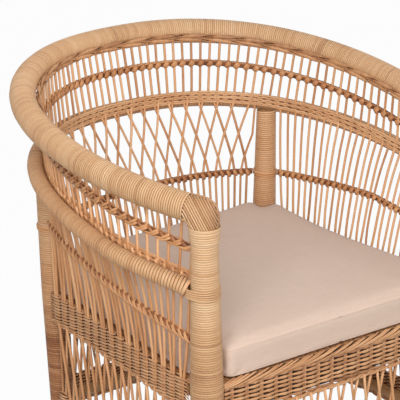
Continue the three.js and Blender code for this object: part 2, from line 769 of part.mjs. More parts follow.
// A rear post's head is hollowed to a saddle for the hoop
for (const [name, post] of Object.entries(posts)) {
  const saddled = (geometry) => geometryOf(trimmed(solid(geometry), [hoopRoom, bandRoom]));
  const shape = name.startsWith("rear") ? saddled : (geometry) => geometry;
  add(frame, `${name}_post`, shape(postPole(post)), POLE);
  add(frame, `${name}_post_binding`, shape(postBinding(post)), BINDING);
}

const rimRun = smooth(pointsAlong(rim, rimEnd, 1 - rimEnd, RUN_SAMPLES));
const rimBore = RIM_POLE_RADIUS + FIT;
add(frame, "rim_pole", bar(rimRun, RIM_POLE_RADIUS, POLE_SIDES, RIM_STEPS), POLE);
add(frame, "rim_binding", bar(rimRun, rimRadius, TUBE_SIDES, RIM_STEPS, rimBore), BINDING);
add(frame, "left_arm_cap", armCap(frontLeft, rimEnd, -1), BINDING);
add(frame, "right_arm_cap", armCap(frontRight, 1 - rimEnd, 1), BINDING);

const hoopBore = HOOP_POLE_RADIUS + FIT;
const lashed = (geometry) => geometryOf(trimmed(solid(geometry), frontLashedRooms));
add(frame, "hoop_pole", lashed(bar(hoop, HOOP_POLE_RADIUS, POLE_SIDES, HOOP_STEPS)), POLE);
add(frame, "hoop_binding", lashed(bar(hoop, hoopRadius, TUBE_SIDES, HOOP_STEPS, hoopBore)), BINDING);
const lashingHeight = hoop.getPointAt(0).z;
add(frame, "left_hoop_lashing", ringOn(frontLeft, lashingHeight, LASHING_WIDTH, LASHING_THICKNESS), BINDING);
add(frame, "right_hoop_lashing", ringOn(frontRight, lashingHeight, LASHING_WIDTH, LASHING_THICKNESS), BINDING);

add(frame, "border_braid", borderRibbon(0, 0), WEAVE);
const tripleBand = trimmed(solid(bandRibbon(0, 0)), [hoopRoom, ...frontLashedRooms]);
add(frame, "triple_band", geometryOf(tripleBand), WEAVE);
add(frame, "gallery", gallery(), STAKE);

const headFront = bandPast(frontLeft);
const headCorner = bandBefore(rearLeft);
const headBack = bandPast(rearLeft);
add(frame, "left_panel", sidePanel("left", headCorner, headFront), STAKE);
add(frame, "right_panel", sidePanel("right", 1 - headFront, 1 - headCorner), STAKE);
add(frame, "back_panel", backPanel(1 - headBack, headBack), STAKE);

const seatRailHeight = SEAT_HEIGHT - DECK_THICKNESS - FIT - SEAT_RAIL_RADIUS;
const lowerRailHeight = LOWER_BAND_TOP - LOWER_BAND_HEIGHT / 2;
for (const name of Object.keys(sides)) {
  add(frame, `${name}_seat_band`, geometryOf(trimmed(solid(seatBand(name, 0, 0)), postRooms)), WEAVE);
  add(frame, `${name}_seat_rail`, rail(name, seatRailHeight, SEAT_RAIL_RADIUS), POLE);
  add(frame, `${name}_skirt`, skirt(name), STAKE);
  add(frame, `${name}_lower_rail`, rail(name, lowerRailHeight, LOWER_RAIL_RADIUS), POLE);
}
add(frame, "seat_deck", deck(), WEAVE);

const cushionLooks = { cushion_cover: CLOTH, cushion_zip: ZIP, cushion_foam: FOAM };
for (const [name, geometry] of Object.entries(cushionPieces())) {
  add(cushion, name, geometry, cushionLooks[name]);
}

// The origin is on the floor, midway between the foremost post face and the back of the rim
const foremost = frontY - boundRadius(frontLeft, SEAT_HEIGHT);
const rearmost = RIM_BACK_Y + rimRadius;
const placed = new THREE.Group();
placed.position.y = -(foremost + rearmost) / 2;
placed.add(frame, cushion);

const chair = new THREE.Group();
chair.add(placed);

export default chair;
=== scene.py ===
# Looks of the cane tub armchair: wound canes, woven courses, a linen cushion, studio light and camera.
# Lengths are millimetres until a mesh is made. Front is -Y, left is -X, and z = 0 is the floor.
import math

import bpy
import numpy as np
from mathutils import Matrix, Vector
from mathutils.bvhtree import BVHTree


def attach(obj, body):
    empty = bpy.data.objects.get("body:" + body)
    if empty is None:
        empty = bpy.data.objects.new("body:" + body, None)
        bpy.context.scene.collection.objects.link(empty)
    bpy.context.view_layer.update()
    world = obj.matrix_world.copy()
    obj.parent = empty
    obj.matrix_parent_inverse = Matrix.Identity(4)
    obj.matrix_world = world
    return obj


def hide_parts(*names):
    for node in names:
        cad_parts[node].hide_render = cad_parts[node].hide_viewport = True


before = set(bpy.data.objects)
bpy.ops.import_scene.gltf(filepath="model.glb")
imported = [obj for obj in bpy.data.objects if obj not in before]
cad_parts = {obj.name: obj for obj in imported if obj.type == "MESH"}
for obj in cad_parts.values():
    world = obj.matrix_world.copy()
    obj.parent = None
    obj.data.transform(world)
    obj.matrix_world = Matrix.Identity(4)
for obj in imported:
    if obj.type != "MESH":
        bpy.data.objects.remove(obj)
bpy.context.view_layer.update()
draw = np.random.default_rng(20)

# Sizes of the frame, as in the part
MM = 0.001
FIT = 0.3
MIDDLE_Y = 72.3  # from the middle of the seat plan to the middle of the chair
SEAT_HEIGHT = 400.0
FRONT_SPREAD, REAR_SPREAD, POST_DEPTH = 542.0, 480.0, 494.0
FRONT_SPLAY, REAR_SPLAY, REAR_RAKE = 0.02, 0.036, 0.03
FRONT_POLE_RADIUS, REAR_POLE_RADIUS = 17.0, 13.5
BARE_FOOT = 14.0
COLLAR_HEIGHT, COLLAR_TAPER = 16.0, 5.0
RIM_HALF_WIDTH, RIM_WIDEST_Y, RIM_BACK_Y, RIM_SQUARENESS = 350.0, 6.0, 399.0, 2.24
ARM_HEIGHT, BACK_HEIGHT, RIM_RISE = 696.0, 784.0, 0.92
RIM_RADIUS, CAP_BEND, CAP_SWELL = 22.9, 28.0, 11.5
HOOP_HALF_WIDTH, HOOP_WIDEST_Y, HOOP_BACK_Y, HOOP_SQUARENESS = 350.0, -64.0, 367.0, 2.356
HOOP_STANDOFF, HOOP_LAP = 16.0, 14.0
HOOP_FRONT_HEIGHT, HOOP_BACK_HEIGHT, HOOP_RISE = 561.0, 657.0, 0.6
HOOP_RADIUS, SADDLE = 15.0, 0.5
LASHING_WIDTH, LASHING_THICKNESS = 18.0, 3.0
BAND_THICKNESS, BAND_LIFT = 8.0, 9.0
BORDER_THICKNESS, BORDER_DROP = 8.0, 6.5
GALLERY_COURSE_FRONT, GALLERY_COURSE_BACK = 0.42, 0.58
LAYER_OFFSET = 3.1
SIDE_FLARE, BACK_FLARE = 1.6, 1.15
POST_MARGIN = 9.0
FRONT_BAND_HEIGHT, SIDE_BAND_HEIGHT = 68.0, 52.0
SEAT_BAND_THICKNESS = 12.0
FRONT_BAND_OFFSET, FRONT_BAND_BOW, SIDE_BAND_OFFSET = 8.0, 9.0, 19.0
LOWER_BAND_TOP, LOWER_BAND_HEIGHT = 210.0, 58.0
SEAT_RAIL_RADIUS, LOWER_RAIL_RADIUS, DECK_THICKNESS = 12.0, 10.0, 10.0
CUSHION_THICKNESS, CUSHION_CROWN = 52.0, 8.0
CUSHION_FRONT_OVERHANG, CUSHION_BACK_OVERHANG, CUSHION_SIDE_OVERHANG = 12.0, 12.0, 11.0
CUSHION_DRAW_IN, CUSHION_CORNER = 4.0, 14.0
CUSHION_FRONT_CLEARANCE, CUSHION_REAR_CLEARANCE = 9.0, 3.0
ZIP_LENGTH, ZIP_HEIGHT = 320.0, 10.0

# Canes as the photograph shows them
GALLERY_STAKES, GALLERY_CROWDING = 90, 0.11  # the stakes stand closer at the back
SIDE_PAIRS, BACK_PAIRS, FRONT_PAIRS = 16, 17, 16
PAIR_GAP, PAIR_SPREAD = 7.0, 0.25
LATTICE_SHIFT, SKIRT_SHIFT = 1.5, 1.15
STAKE_RADIUS = 2.5
WALL_MARGIN = 3.0  # from a post to the wall's first stake
POST_STRIP, RIM_STRIP, HOOP_STRIP = 4.0, 4.0, 5.2  # widths of the split cane in the windings
WINDING_DEPTH = 0.6  # depth of the groove between two turns

UP = np.array([0.0, 0.0, 1.0])


# Vectors and curves

def unit(vectors):
    return vectors / np.linalg.norm(vectors, axis=-1, keepdims=True)


def between(low, high, share):
    return low + (high - low) * share


class Line:
    """A curve through close points, walked by shares of its length."""

    def __init__(self, points):
        self.points = np.asarray(points, float)
        steps = np.linalg.norm(np.diff(self.points, axis=0), axis=1)
        self.walked = np.concatenate([[0.0], np.cumsum(steps)])
        self.length = self.walked[-1]

    def at(self, share):
        places = np.asarray(share, float) * self.length
        return np.stack([np.interp(places, self.walked, column) for column in self.points.T], -1)

    def along(self, share):
        step = 1e-3
        share = np.asarray(share, float)
        ahead = self.at(np.minimum(share + step, 1.0))
        behind = self.at(np.maximum(share - step, 0.0))
        return unit(ahead - behind)

    def inward(self, share):
        along = self.along(share)
        return unit(np.stack([along[..., 1], -along[..., 0], 0 * along[..., 0]], -1))

    def shifted(self, inset, lift):
        shares = np.linspace(0, 1, 1201)
        return Line(self.at(shares) + inset * self.inward(shares) + lift * UP)

    def part(self, start, end, count):
        return self.at(np.linspace(start, end, count))

    def share_where(self, passed):
        """Share of the left half at which a test of the point turns true."""
        low, high = 0.0, 0.5
        for _ in range(40):
            middle = (low + high) / 2
            if passed(self.at(middle)):
                high = middle
            else:
                low = middle
        return high


def horseshoe(half_width, widest_y, back_y, squareness, front_x, front_y, front_z, back_z, rise):
    ahead = np.linspace(1, 0, 400)
    angle = np.linspace(0, math.pi / 2, 1200)[1:]
    arm_x = half_width - (half_width - front_x) * ahead ** 2
    arm_y = widest_y - (widest_y - front_y) * ahead
    round_x = half_width * np.maximum(np.cos(angle), 0) ** (2 / squareness)
    round_y = widest_y + (back_y - widest_y) * np.sin(angle) ** (2 / squareness)
    x = np.concatenate([arm_x, round_x])
    y = np.concatenate([arm_y, round_y])
    z = front_z + (back_z - front_z) * np.clip((y - front_y) / (back_y - front_y), 0, 1) ** rise
    left = np.stack([-x, y, z], -1)
    right = left[-2::-1] * (-1, 1, 1)
    return Line(np.concatenate([left, right]))


# Posts

FRONT_Y = -250.0
REAR_Y = FRONT_Y + POST_DEPTH
FRONT_TOP = ARM_HEIGHT - CAP_BEND - FIT


class Post:
    """A leaning post: its axis at seat height, its pole and the thickness of its winding."""

    def __init__(self, x, y, lean, top, pole, winding):
        self.x, self.y, self.lean, self.top, self.pole = x, y, lean, top, pole
        self.heights, self.thickness = zip(*winding)

    def axis(self, z):
        z = np.asarray(z, float)
        rise = z - SEAT_HEIGHT
        return np.stack([self.x + self.lean[0] * rise, self.y + self.lean[1] * rise, z], -1)

    def radius(self, z):
        return self.pole + FIT + np.interp(z, self.heights, self.thickness)


def front_post(side):
    neck = FRONT_TOP - COLLAR_HEIGHT
    winding = [(BARE_FOOT, 7.0), (SEAT_HEIGHT, 10.0), (neck - COLLAR_TAPER, 4.8)]
    winding += [(neck, 7.6), (FRONT_TOP, 7.6)]
    lean = (side * FRONT_SPLAY, 0.0)
    return Post(side * FRONT_SPREAD / 2, FRONT_Y, lean, FRONT_TOP, FRONT_POLE_RADIUS, winding)


def rear_post(side, top):
    winding = [(BARE_FOOT, 8.5), (SEAT_HEIGHT, 9.5), (top, 4.5)]
    lean = (side * REAR_SPLAY, REAR_RAKE)
    return Post(side * REAR_SPREAD / 2, REAR_Y, lean, top, REAR_POLE_RADIUS, winding)


front_left, front_right = front_post(-1), front_post(1)
cap_foot = front_right.axis(ARM_HEIGHT - CAP_BEND)

rim = horseshoe(
    RIM_HALF_WIDTH, RIM_WIDEST_Y, RIM_BACK_Y, RIM_SQUARENESS,
    cap_foot[0], FRONT_Y, ARM_HEIGHT, BACK_HEIGHT, RIM_RISE,
)
rim_end = rim.share_where(lambda p: math.hypot(p[0] + cap_foot[0], p[1] - cap_foot[1]) > CAP_BEND)

rear_head = rear_post(1, HOOP_BACK_HEIGHT).axis(HOOP_BACK_HEIGHT - HOOP_RADIUS)
hoop = horseshoe(
    HOOP_HALF_WIDTH, HOOP_WIDEST_Y, HOOP_BACK_Y, HOOP_SQUARENESS,
    front_right.axis(HOOP_FRONT_HEIGHT)[0] + HOOP_STANDOFF, FRONT_Y + HOOP_LAP,
    HOOP_FRONT_HEIGHT, HOOP_BACK_HEIGHT, HOOP_RISE,
)
over_rear = hoop.share_where(lambda p: p[1] > rear_head[1])
rear_top = hoop.at(over_rear)[2] - SADDLE * HOOP_RADIUS
rear_left, rear_right = rear_post(-1, rear_top), rear_post(1, rear_top)
posts = {
    "front_left": front_left, "front_right": front_right,
    "rear_left": rear_left, "rear_right": rear_right,
}
band = hoop.shifted(HOOP_RADIUS + FIT + BAND_THICKNESS / 2, BAND_LIFT)
border = rim.shifted(RIM_RADIUS + FIT + BORDER_THICKNESS / 2, -BORDER_DROP)


# Sides of the seat, each a run between two posts

class Side:
    def __init__(self, start, end, offset, bow, pairs, band_height):
        self.start, self.end, self.offset, self.bow = start, end, offset, bow
        self.pairs, self.band_height = pairs, band_height

    def at(self, share, z, out=0.0):
        share = np.asarray(share, float)[..., None]
        begin, finish = self.start.axis(z), self.end.axis(z)
        return begin + (finish - begin) * share + self.outward() * (
            self.offset + np.asarray(out)[..., None] + self.bow * np.sin(math.pi * share))

    def outward(self):
        along = self.end.axis(SEAT_HEIGHT) - self.start.axis(SEAT_HEIGHT)
        return unit(np.array([along[1], -along[0], 0.0]))

    def run(self, z):
        return np.linalg.norm(self.end.axis(z) - self.start.axis(z))

    def span(self, z, margin):
        """Shares at which the posts' windings and a margin end."""
        length = self.run(z)
        return (self.start.radius(z) + margin) / length, 1 - (self.end.radius(z) + margin) / length

    def stakes(self):
        """The middle of each pair as a share of the side, with -1 and 1 for the pair's two stakes."""
        for index in range(self.pairs):
            for way in (-1, 1):
                yield (index + 0.5) / self.pairs, way


sides = {
    "front": Side(front_left, front_right, FRONT_BAND_OFFSET, FRONT_BAND_BOW, FRONT_PAIRS, FRONT_BAND_HEIGHT),
    "right": Side(front_right, rear_right, SIDE_BAND_OFFSET, 0.0, SIDE_PAIRS, SIDE_BAND_HEIGHT),
    "back": Side(rear_right, rear_left, SIDE_BAND_OFFSET, 0.0, BACK_PAIRS, SIDE_BAND_HEIGHT),
    "left": Side(rear_left, front_left, SIDE_BAND_OFFSET, 0.0, SIDE_PAIRS, SIDE_BAND_HEIGHT),
}


# Meshes: canes swept along lines, gathered into one piece

CANE_SIDES = 8
CANE_FACING = np.array((0.31, 0.77, 0.2))  # a direction that no round cane runs along


def ellipse(wide, thick, points=CANE_SIDES):
    angle = np.arange(points) * 2 * math.pi / points
    return np.stack([wide / 2 * np.cos(angle), thick / 2 * np.sin(angle)], -1)


ROUND = ellipse(2, 2)


def split_cane(width, depth):
    """Section of a split cane, its crown outward."""
    edge, crown = 0.5 * width, 0.27 * width
    return np.array([[0, -2 * depth], [edge, -depth], [crown, 0], [-crown, 0], [-edge, -depth]])


def level_ring(count):
    """Angles once round, and the level directions at them."""
    angle = np.linspace(0, 2 * math.pi, count)
    return angle, np.stack([np.cos(angle), np.sin(angle), 0 * angle], -1)


def placed(name, data):
    made = bpy.data.objects.new(name, data)
    bpy.context.scene.collection.objects.link(made)
    return made


class Canes:
    """Swept canes that become one mesh. A tone from 0, dark, to 1, pale, is kept for each point."""

    def __init__(self):
        self.places, self.faces, self.maps, self.tones = [], [], [], []
        self.count = 0

    def sweep(self, points, section, facing, tone, swell=1.0):
        points = np.asarray(points, float)
        along = unit(np.gradient(points, axis=0))
        facing = np.broadcast_to(facing, points.shape)
        facing = unit(facing - (facing * along).sum(1, keepdims=True) * along)
        side = np.cross(along, facing)
        swell = np.broadcast_to(swell, len(points))[:, None, None]
        across = section[None, :, :1] * side[:, None] + section[None, :, 1:] * facing[:, None]
        self.skin(points[:, None] + across * swell, tone)

    def skin(self, rings, tone):
        """A closed skin through rings of points."""
        rows, columns = rings.shape[:2]
        self.places.append(rings.reshape(-1, 3))
        self.tones.append(np.repeat(np.broadcast_to(tone, rows), columns))

        row = np.arange(rows - 1)[:, None] * columns + self.count
        here = np.arange(columns)[None]
        after = (here + 1) % columns
        quads = np.stack([row + here, row + columns + here, row + columns + after, row + after], -1)
        steps = np.linalg.norm(np.diff(rings.mean(1), axis=0), axis=1)
        walked = np.concatenate([[0.0], np.cumsum(steps)]) * MM
        low = np.broadcast_to(walked[:-1, None], quads.shape[:2])
        high = np.broadcast_to(walked[1:, None], quads.shape[:2])
        left = np.broadcast_to(here / columns, quads.shape[:2])
        right = np.broadcast_to((here + 1) / columns, quads.shape[:2])
        corners = [(low, left), (high, left), (high, right), (low, right)]
        self.faces.append(quads.reshape(-1, 4))
        self.maps.append(np.stack([np.stack(c, -1) for c in corners], -2).reshape(-1, 2))

        first = np.arange(columns) + self.count
        last = (first + (rows - 1) * columns)[::-1]
        for end, place in ((first, walked[0]), (last, walked[-1])):
            self.faces.append(end[None])
            self.maps.append(np.stack([np.full(columns, place), np.linspace(0, 1, columns)], -1))
        self.count += rows * columns

    def cane(self, points, radius=STAKE_RADIUS, tone=None):
        tone = draw.uniform(0.3, 0.75) if tone is None else tone
        self.sweep(points, ROUND * radius, CANE_FACING, tone)

    def piece(self, name, look, slot, replaced=(), body="frame"):
        places = np.concatenate(self.places)
        places = (places - (0, MIDDLE_Y, 0)) * MM
        corners = np.concatenate([face.ravel() for face in self.faces])
        sizes = np.concatenate([np.full(len(face), face.shape[1]) for face in self.faces])
        starts = np.concatenate([[0], np.cumsum(sizes)[:-1]])
        mesh = bpy.data.meshes.new(name)
        mesh.vertices.add(len(places))
        mesh.vertices.foreach_set("co", places.ravel())
        mesh.loops.add(len(corners))
        mesh.loops.foreach_set("vertex_index", corners)
        mesh.polygons.add(len(sizes))
        mesh.polygons.foreach_set("loop_start", starts)
        mesh.polygons.foreach_set("use_smooth", sizes == 4)
        mesh.update(calc_edges=True)
        mesh.uv_layers.new(name="Cane").uv.foreach_set("vector", np.concatenate(self.maps).ravel())
        mesh.attributes.new("tone", "FLOAT", "POINT").data.foreach_set("value", np.concatenate(self.tones))
        mesh.materials.append(look)
        made = placed(name, mesh)
        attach(made, body)
        if replaced:
            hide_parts(*replaced)


# Materials

class Socket:
    """A shader output that takes part in Python arithmetic on values."""

    def __init__(self, paint, output):
        self.paint, self.output = paint, output

    def math(self, operation, first, second=0.0):
        return self.paint.node("ShaderNodeMath", {"operation": operation}, {0: first, 1: second})

    def __add__(self, other):
        return self.math("ADD", self, other)

    def __sub__(self, other):
        return self.math("SUBTRACT", self, other)

    def __mul__(self, other):
        return self.math("MULTIPLY", self, other)


class Paint:
    """A node tree of a material or the world, and its nodes."""

    def __init__(self, tree):
        self.tree = tree
        tree.nodes.clear()

    def node(self, kind, settings=None, sockets=None, output=0):
        made = self.tree.nodes.new(kind)
        for name, value in (settings or {}).items():
            if name == "stops":
                self.stops(made.color_ramp, value)
            else:
                setattr(made, name, value)
        for name, value in (sockets or {}).items():
            if isinstance(value, Socket):
                self.tree.links.new(value.output, made.inputs[name])
            else:
                made.inputs[name].default_value = value
        return Socket(self, made.outputs[output]) if made.outputs else made

    def stops(self, ramp, stops):
        while len(ramp.elements) < len(stops):
            ramp.elements.new(1.0)
        for element, (place, colour) in zip(ramp.elements, stops):
            element.position = place
            element.color = colour

    def mixed(self, share, low, high):
        settings = {"data_type": "RGBA", "clamp_factor": True}
        return self.node("ShaderNodeMix", settings, {0: share, 6: low, 7: high}, output=2)

    def where(self, kind):
        return self.node("ShaderNodeTexCoord", None, None, kind)

    def part(self, vector, axis):
        return self.node("ShaderNodeSeparateXYZ", None, {0: vector}, axis)

    def times(self, vector, factors):
        return self.node("ShaderNodeVectorMath", {"operation": "MULTIPLY"}, {0: vector, 1: factors})

    def noise(self, vector, scale=1.0, detail=2.0, roughness=0.5):
        sockets = {"Vector": vector, "Scale": scale, "Detail": detail, "Roughness": roughness}
        return self.node("ShaderNodeTexNoise", None, sockets)

    def line(self, across, place, near, far, inside, outside):
        """A value that goes over from inside to outside with the distance from a place across a cane."""
        away = self.node("ShaderNodeMath", {"operation": "ABSOLUTE"}, {0: across - place})
        sockets = {0: away, 1: near, 2: far, 3: inside, 4: outside}
        return self.node("ShaderNodeMapRange", {"clamp": True}, sockets)

    def bump(self, height, strength, distance):
        sockets = {"Strength": strength, "Distance": distance, "Height": height}
        return self.node("ShaderNodeBump", None, sockets)


def colour(red, green, blue):
    """A colour of the screen, from 0 to 255, as a shader takes it."""
    linear = [((c / 255 + 0.055) / 1.055) ** 2.4 for c in (red, green, blue)]
    return (*linear, 1.0)


def material(name):
    made = bpy.data.materials.new(name)
    made.use_nodes = True
    return made, Paint(made.node_tree)


def surface(paint, sockets):
    shader = paint.node("ShaderNodeBsdfPrincipled", None, sockets)
    paint.node("ShaderNodeOutputMaterial", None, {"Surface": shader})


# Colour of the lowest tones: painted shade deep in the weave, behind and between canes.
DEEP_SHADE = colour(58, 35, 20)


def cane_look(name, dark, middle, pale, roughness, groove=0.0, edge=None):
    """Cane with fibres along its length and a tone for each length. A tone below 0 is painted shade, deep in
    the weave.
    A wound cane has a dark groove on both sides, dirt and painted shade, and may have one pale edge."""
    made, paint = material(name)
    dark = colour(*dark)
    tone = paint.node("ShaderNodeAttribute", {"attribute_name": "tone"}, None, "Fac")
    place = paint.node("ShaderNodeUVMap", {"uv_map": "Cane"})
    along, across = paint.part(place, "X"), paint.part(place, "Y")
    where = paint.where("Object")
    thread = paint.node("ShaderNodeCombineXYZ", None, {0: along * 22.0, 1: across * 9.0, 2: tone * 60.0})
    fibre = paint.noise(thread, 1.0, 4.0, 0.65)
    cloud = paint.noise(where, 14.0)
    fleck = paint.noise(where, 260.0, 1.0)
    pace = tone * 0.62 + fibre * 0.4 + cloud * 0.26 + fleck * 0.12 - 0.2
    stops = [(0.0, DEEP_SHADE), (0.2, dark), (0.5, colour(*middle)), (0.88, colour(*pale))]
    shade = paint.node("ShaderNodeValToRGB", {"stops": stops}, {0: pace}, "Color")
    if edge:
        shade = paint.mixed(paint.line(across, 0.66, 0.03, 0.08, 0.75, 0.0), shade, colour(*edge))
    # Dirt and painted shade in the groove between two turns, in clouds.
    if groove:
        shade = paint.mixed(paint.line(across, 0.5, 0.2, 0.32, 0.0, groove) * (cloud + 0.5), shade, dark)
    bump = paint.bump(fibre, 0.35, 0.0004)
    surface(paint, {"Base Color": shade, "Roughness": fibre * 0.22 + roughness, "Normal": bump})
    return made


def pole_look(name, dark, pale):
    """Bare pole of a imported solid: fibres up its length, in lighter and darker clouds."""
    made, paint = material(name)
    where = paint.where("Object")
    fibre = paint.noise(paint.times(where, (320.0, 320.0, 12.0)), 1.0, 3.0)
    cloud = paint.noise(where, 30.0)
    shade = paint.mixed(fibre * 0.6 + cloud * 0.4, colour(*dark), colour(*pale))
    bump = paint.bump(fibre, 0.3, 0.0005)
    surface(paint, {"Base Color": shade, "Roughness": fibre * 0.2 + 0.45, "Normal": bump})
    return made


THREAD_PITCH = 0.0011  # metres from one thread of the linen to the next but one


def linen_look(name, dark, pale):
    """Plain woven linen: threads over and under in the plane that the cloth lies in, with thicker slubs."""
    made, paint = material(name)
    where, normal = paint.where("Object"), paint.where("Normal")
    x, y, z = (paint.part(where, axis) for axis in "XYZ")

    def wave(place):
        return paint.node("ShaderNodeMath", {"operation": "SINE"}, {0: place * (2 * math.pi / THREAD_PITCH)})

    def weave(first, second):
        return wave(first) * wave(second) * 0.5 + 0.5

    def facing(axis):
        part = paint.part(normal, axis)
        return part * part

    cloth = weave(x, y) * facing("Z") + weave(x, z) * facing("Y") + weave(y, z) * facing("X")
    warp = paint.noise(paint.times(where, (30.0, 420.0, 420.0)))
    weft = paint.noise(paint.times(where, (420.0, 30.0, 420.0)))
    cloud = paint.noise(where, 7.0, 3.0)
    pace = cloth * 0.3 + warp * 0.32 + weft * 0.32 + cloud * 0.3 - 0.12
    bump = paint.bump(cloth * 0.7 + warp * 0.4 + weft * 0.4, 0.35, 0.0005)
    sockets = {"Base Color": paint.mixed(pace, colour(*dark), colour(*pale)), "Roughness": pace * 0.1 + 0.85}
    sockets |= {"Normal": bump, "Sheen Weight": 0.15, "Sheen Roughness": 0.5, "Specular IOR Level": 0.25}
    surface(paint, sockets)
    return made


winding_look = cane_look("wound_cane", (142, 91, 54), (204, 159, 115), (228, 195, 156), 0.42, 0.55)
hoop_look = cane_look(
    "hoop_cane", (142, 90, 52), (199, 149, 104), (220, 180, 137), 0.42, 0.4, (234, 205, 166))
rear_look = cane_look("rear_cane", (150, 94, 55), (206, 155, 110), (228, 188, 146), 0.44, 0.25)
stake_look = cane_look("stake_cane", (152, 92, 51), (208, 152, 103), (232, 188, 142), 0.4)
weave_look = cane_look("woven_cane", (130, 80, 46), (194, 142, 98), (224, 181, 137), 0.45)
rail_look = cane_look("rail_cane", (140, 90, 50), (190, 142, 92), (214, 172, 124), 0.5)
pole_finish = pole_look("bare_pole", (140, 95, 55), (196, 150, 100))
linen = linen_look("linen", (195, 167, 149), (225, 203, 186))
tape_look = linen_look("zip_tape", (170, 146, 130), (198, 176, 160))

for node_name in ("rim_pole", "hoop_pole", *(f"{name}_post" for name in posts)):
    node_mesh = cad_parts[node_name].data
    node_mesh.materials.clear()
    node_mesh.materials.append(pole_finish)


# Windings: one split cane after another wound round a pole

CANE_TURNS, CANE_TONES = (5, 14), (0.5, 0.63)  # how many turns a cane lasts, and its tone
TURN_SPREAD, DARK_TURNS, DARKENED = 0.07, 0.03, 0.14  # of the tones, the share of dark turns, and how dark
# The fade along a post is painted light: painted shade towards the foot and painted light towards the top.
POST_PAINTED_LIGHT = 1.8  # change of tone along a post, darker below and paler above the middle of the fade
FADE_MIDDLE, FADE_BELOW, FADE_ABOVE = 0.68, 0.24, 0.1  # shares of a post
COLLAR_REACH, COLLAR_FLARE = 5.0, 1.6  # how far the collar comes up over the nose, and how much it widens
COLLAR_CANE, COLLAR_TONE = 3.4, 0.78
RING_DEPTH, END_TONE = 1.0, 0.66
LASHING_TURNS, LASHING_DROP, LASHING_BULGE = 5, 3.0, 9.0


def turn_tones(turns):
    """Tones of the turns: each cane lasts some turns, each turn differs a little, and a few are dark."""
    tones = np.empty(turns)
    place = 0
    while place < turns:
        length = int(draw.integers(*CANE_TURNS))
        tones[place:place + length] = draw.uniform(*CANE_TONES)
        place += length
    tones += draw.normal(0, TURN_SPREAD, turns)
    tones[draw.random(turns) < DARK_TURNS] -= DARKENED
    return np.clip(tones, 0, 1)


def wind(canes, centre, first, second, radius, pitch, steps, fade=0.0):
    """Winds a cane round a line of centres. first and second span the plane across the line at each point.
    Its start is darker by the fade, as painted shade, and its end paler, as painted light."""
    turns = max(int(round(centre.length / pitch)), 2)
    count = turns * steps + 1
    share = np.linspace(0, 1, count)
    angle = np.arange(count) * 2 * math.pi / steps
    radial = np.cos(angle)[:, None] * first(share) + np.sin(angle)[:, None] * second(share)
    points = centre.at(share) + radial * radius(share)[:, None]
    tones = turn_tones(turns + 1)[np.arange(count) // steps]
    # Painted shade towards the start and painted light towards the end.
    tones = tones + fade * np.clip(share - FADE_MIDDLE, -FADE_BELOW, FADE_ABOVE)
    canes.sweep(points, split_cane(centre.length / turns, WINDING_DEPTH), radial, tones)


def wind_post(name, post):
    """A post's winding. A front post's comes up over the arm nose, with a thick flat cane round its top."""
    canes = Canes()
    over = COLLAR_REACH if post.top == FRONT_TOP else 0.0
    axis = Line(post.axis(np.linspace(BARE_FOOT + 1.5, post.top - 1.0 + over, 400)))

    def level(*vector):
        return lambda share: np.broadcast_to(np.array(vector), (len(share), 3))

    def radius(share):
        z = axis.at(share)[:, 2]
        flare = np.clip((z - (FRONT_TOP - COLLAR_HEIGHT)) / (COLLAR_HEIGHT + COLLAR_REACH), 0, 1)
        return post.radius(z) + COLLAR_FLARE * flare ** 2

    wind(canes, axis, level(1.0, 0, 0), level(0, 1.0, 0), radius, POST_STRIP, 16, POST_PAINTED_LIGHT)
    if over:
        _, radial = level_ring(49)
        ring = post.axis(post.top + over) + radial * (post.radius(post.top) + COLLAR_FLARE)
        canes.sweep(ring, split_cane(COLLAR_CANE, RING_DEPTH), radial, COLLAR_TONE)
    look = rear_look if name.startswith("rear") else winding_look
    canes.piece(f"{name}_post_winding", look, "binding", [f"{name}_post_binding"])


def wind_horseshoe(name, look, run, radius, strip, steps, ring_place, ring_radius, ring_width):
    """A horseshoe's winding, with a flat cane once round where it ends."""
    canes = Canes()

    def second(share):
        return np.cross(run.along(share), run.inward(share))

    wind(canes, run, run.inward, second, lambda share: np.full(len(share), radius), strip, steps)
    _, level = level_ring(33)
    for share in (ring_place, 1 - ring_place):
        radial = level[:, :1] * run.inward(share) + level[:, 1:2] * second(share)
        ring = run.at(share) + radial * ring_radius
        canes.sweep(ring, split_cane(ring_width, RING_DEPTH), radial, END_TONE)
    canes.piece(f"{name}_winding", look, "binding", [f"{name}_binding"])


def clear_of(curve, post, reach):
    """Share of a curve's left half where it comes clear of a post, on its way to the back."""
    def passed(p):
        axis = post.axis(min(p[2], post.top))
        return p[1] > axis[1] and math.hypot(p[0] - axis[0], p[1] - axis[1]) > post.radius(p[2]) + reach
    return curve.share_where(passed)


def lash(side, post, end):
    """Flat canes tied round a front post and the hoop's end."""
    canes = Canes()
    angle, radial = level_ring(61)
    to_hoop = unit((end - post.axis(end[2])) * (1, 1, 0))
    bulge = np.clip(radial @ to_hoop, 0, 1) ** 3
    section = split_cane(LASHING_WIDTH / LASHING_TURNS - 0.2, RING_DEPTH)
    for turn in range(LASHING_TURNS):
        low = end[2] - LASHING_DROP + (turn - (LASHING_TURNS - 1) / 2) * LASHING_WIDTH / LASHING_TURNS
        z = low + 1.2 * np.sin(angle + 0.4 * turn)
        reach = post.radius(z) + FIT + 0.7 + LASHING_BULGE * bulge
        canes.sweep(post.axis(z) + radial * reach[:, None], section, radial, draw.uniform(0.35, 0.65))
    canes.piece(f"{side}_hoop_tie", winding_look, "binding", [f"{side}_hoop_lashing"])


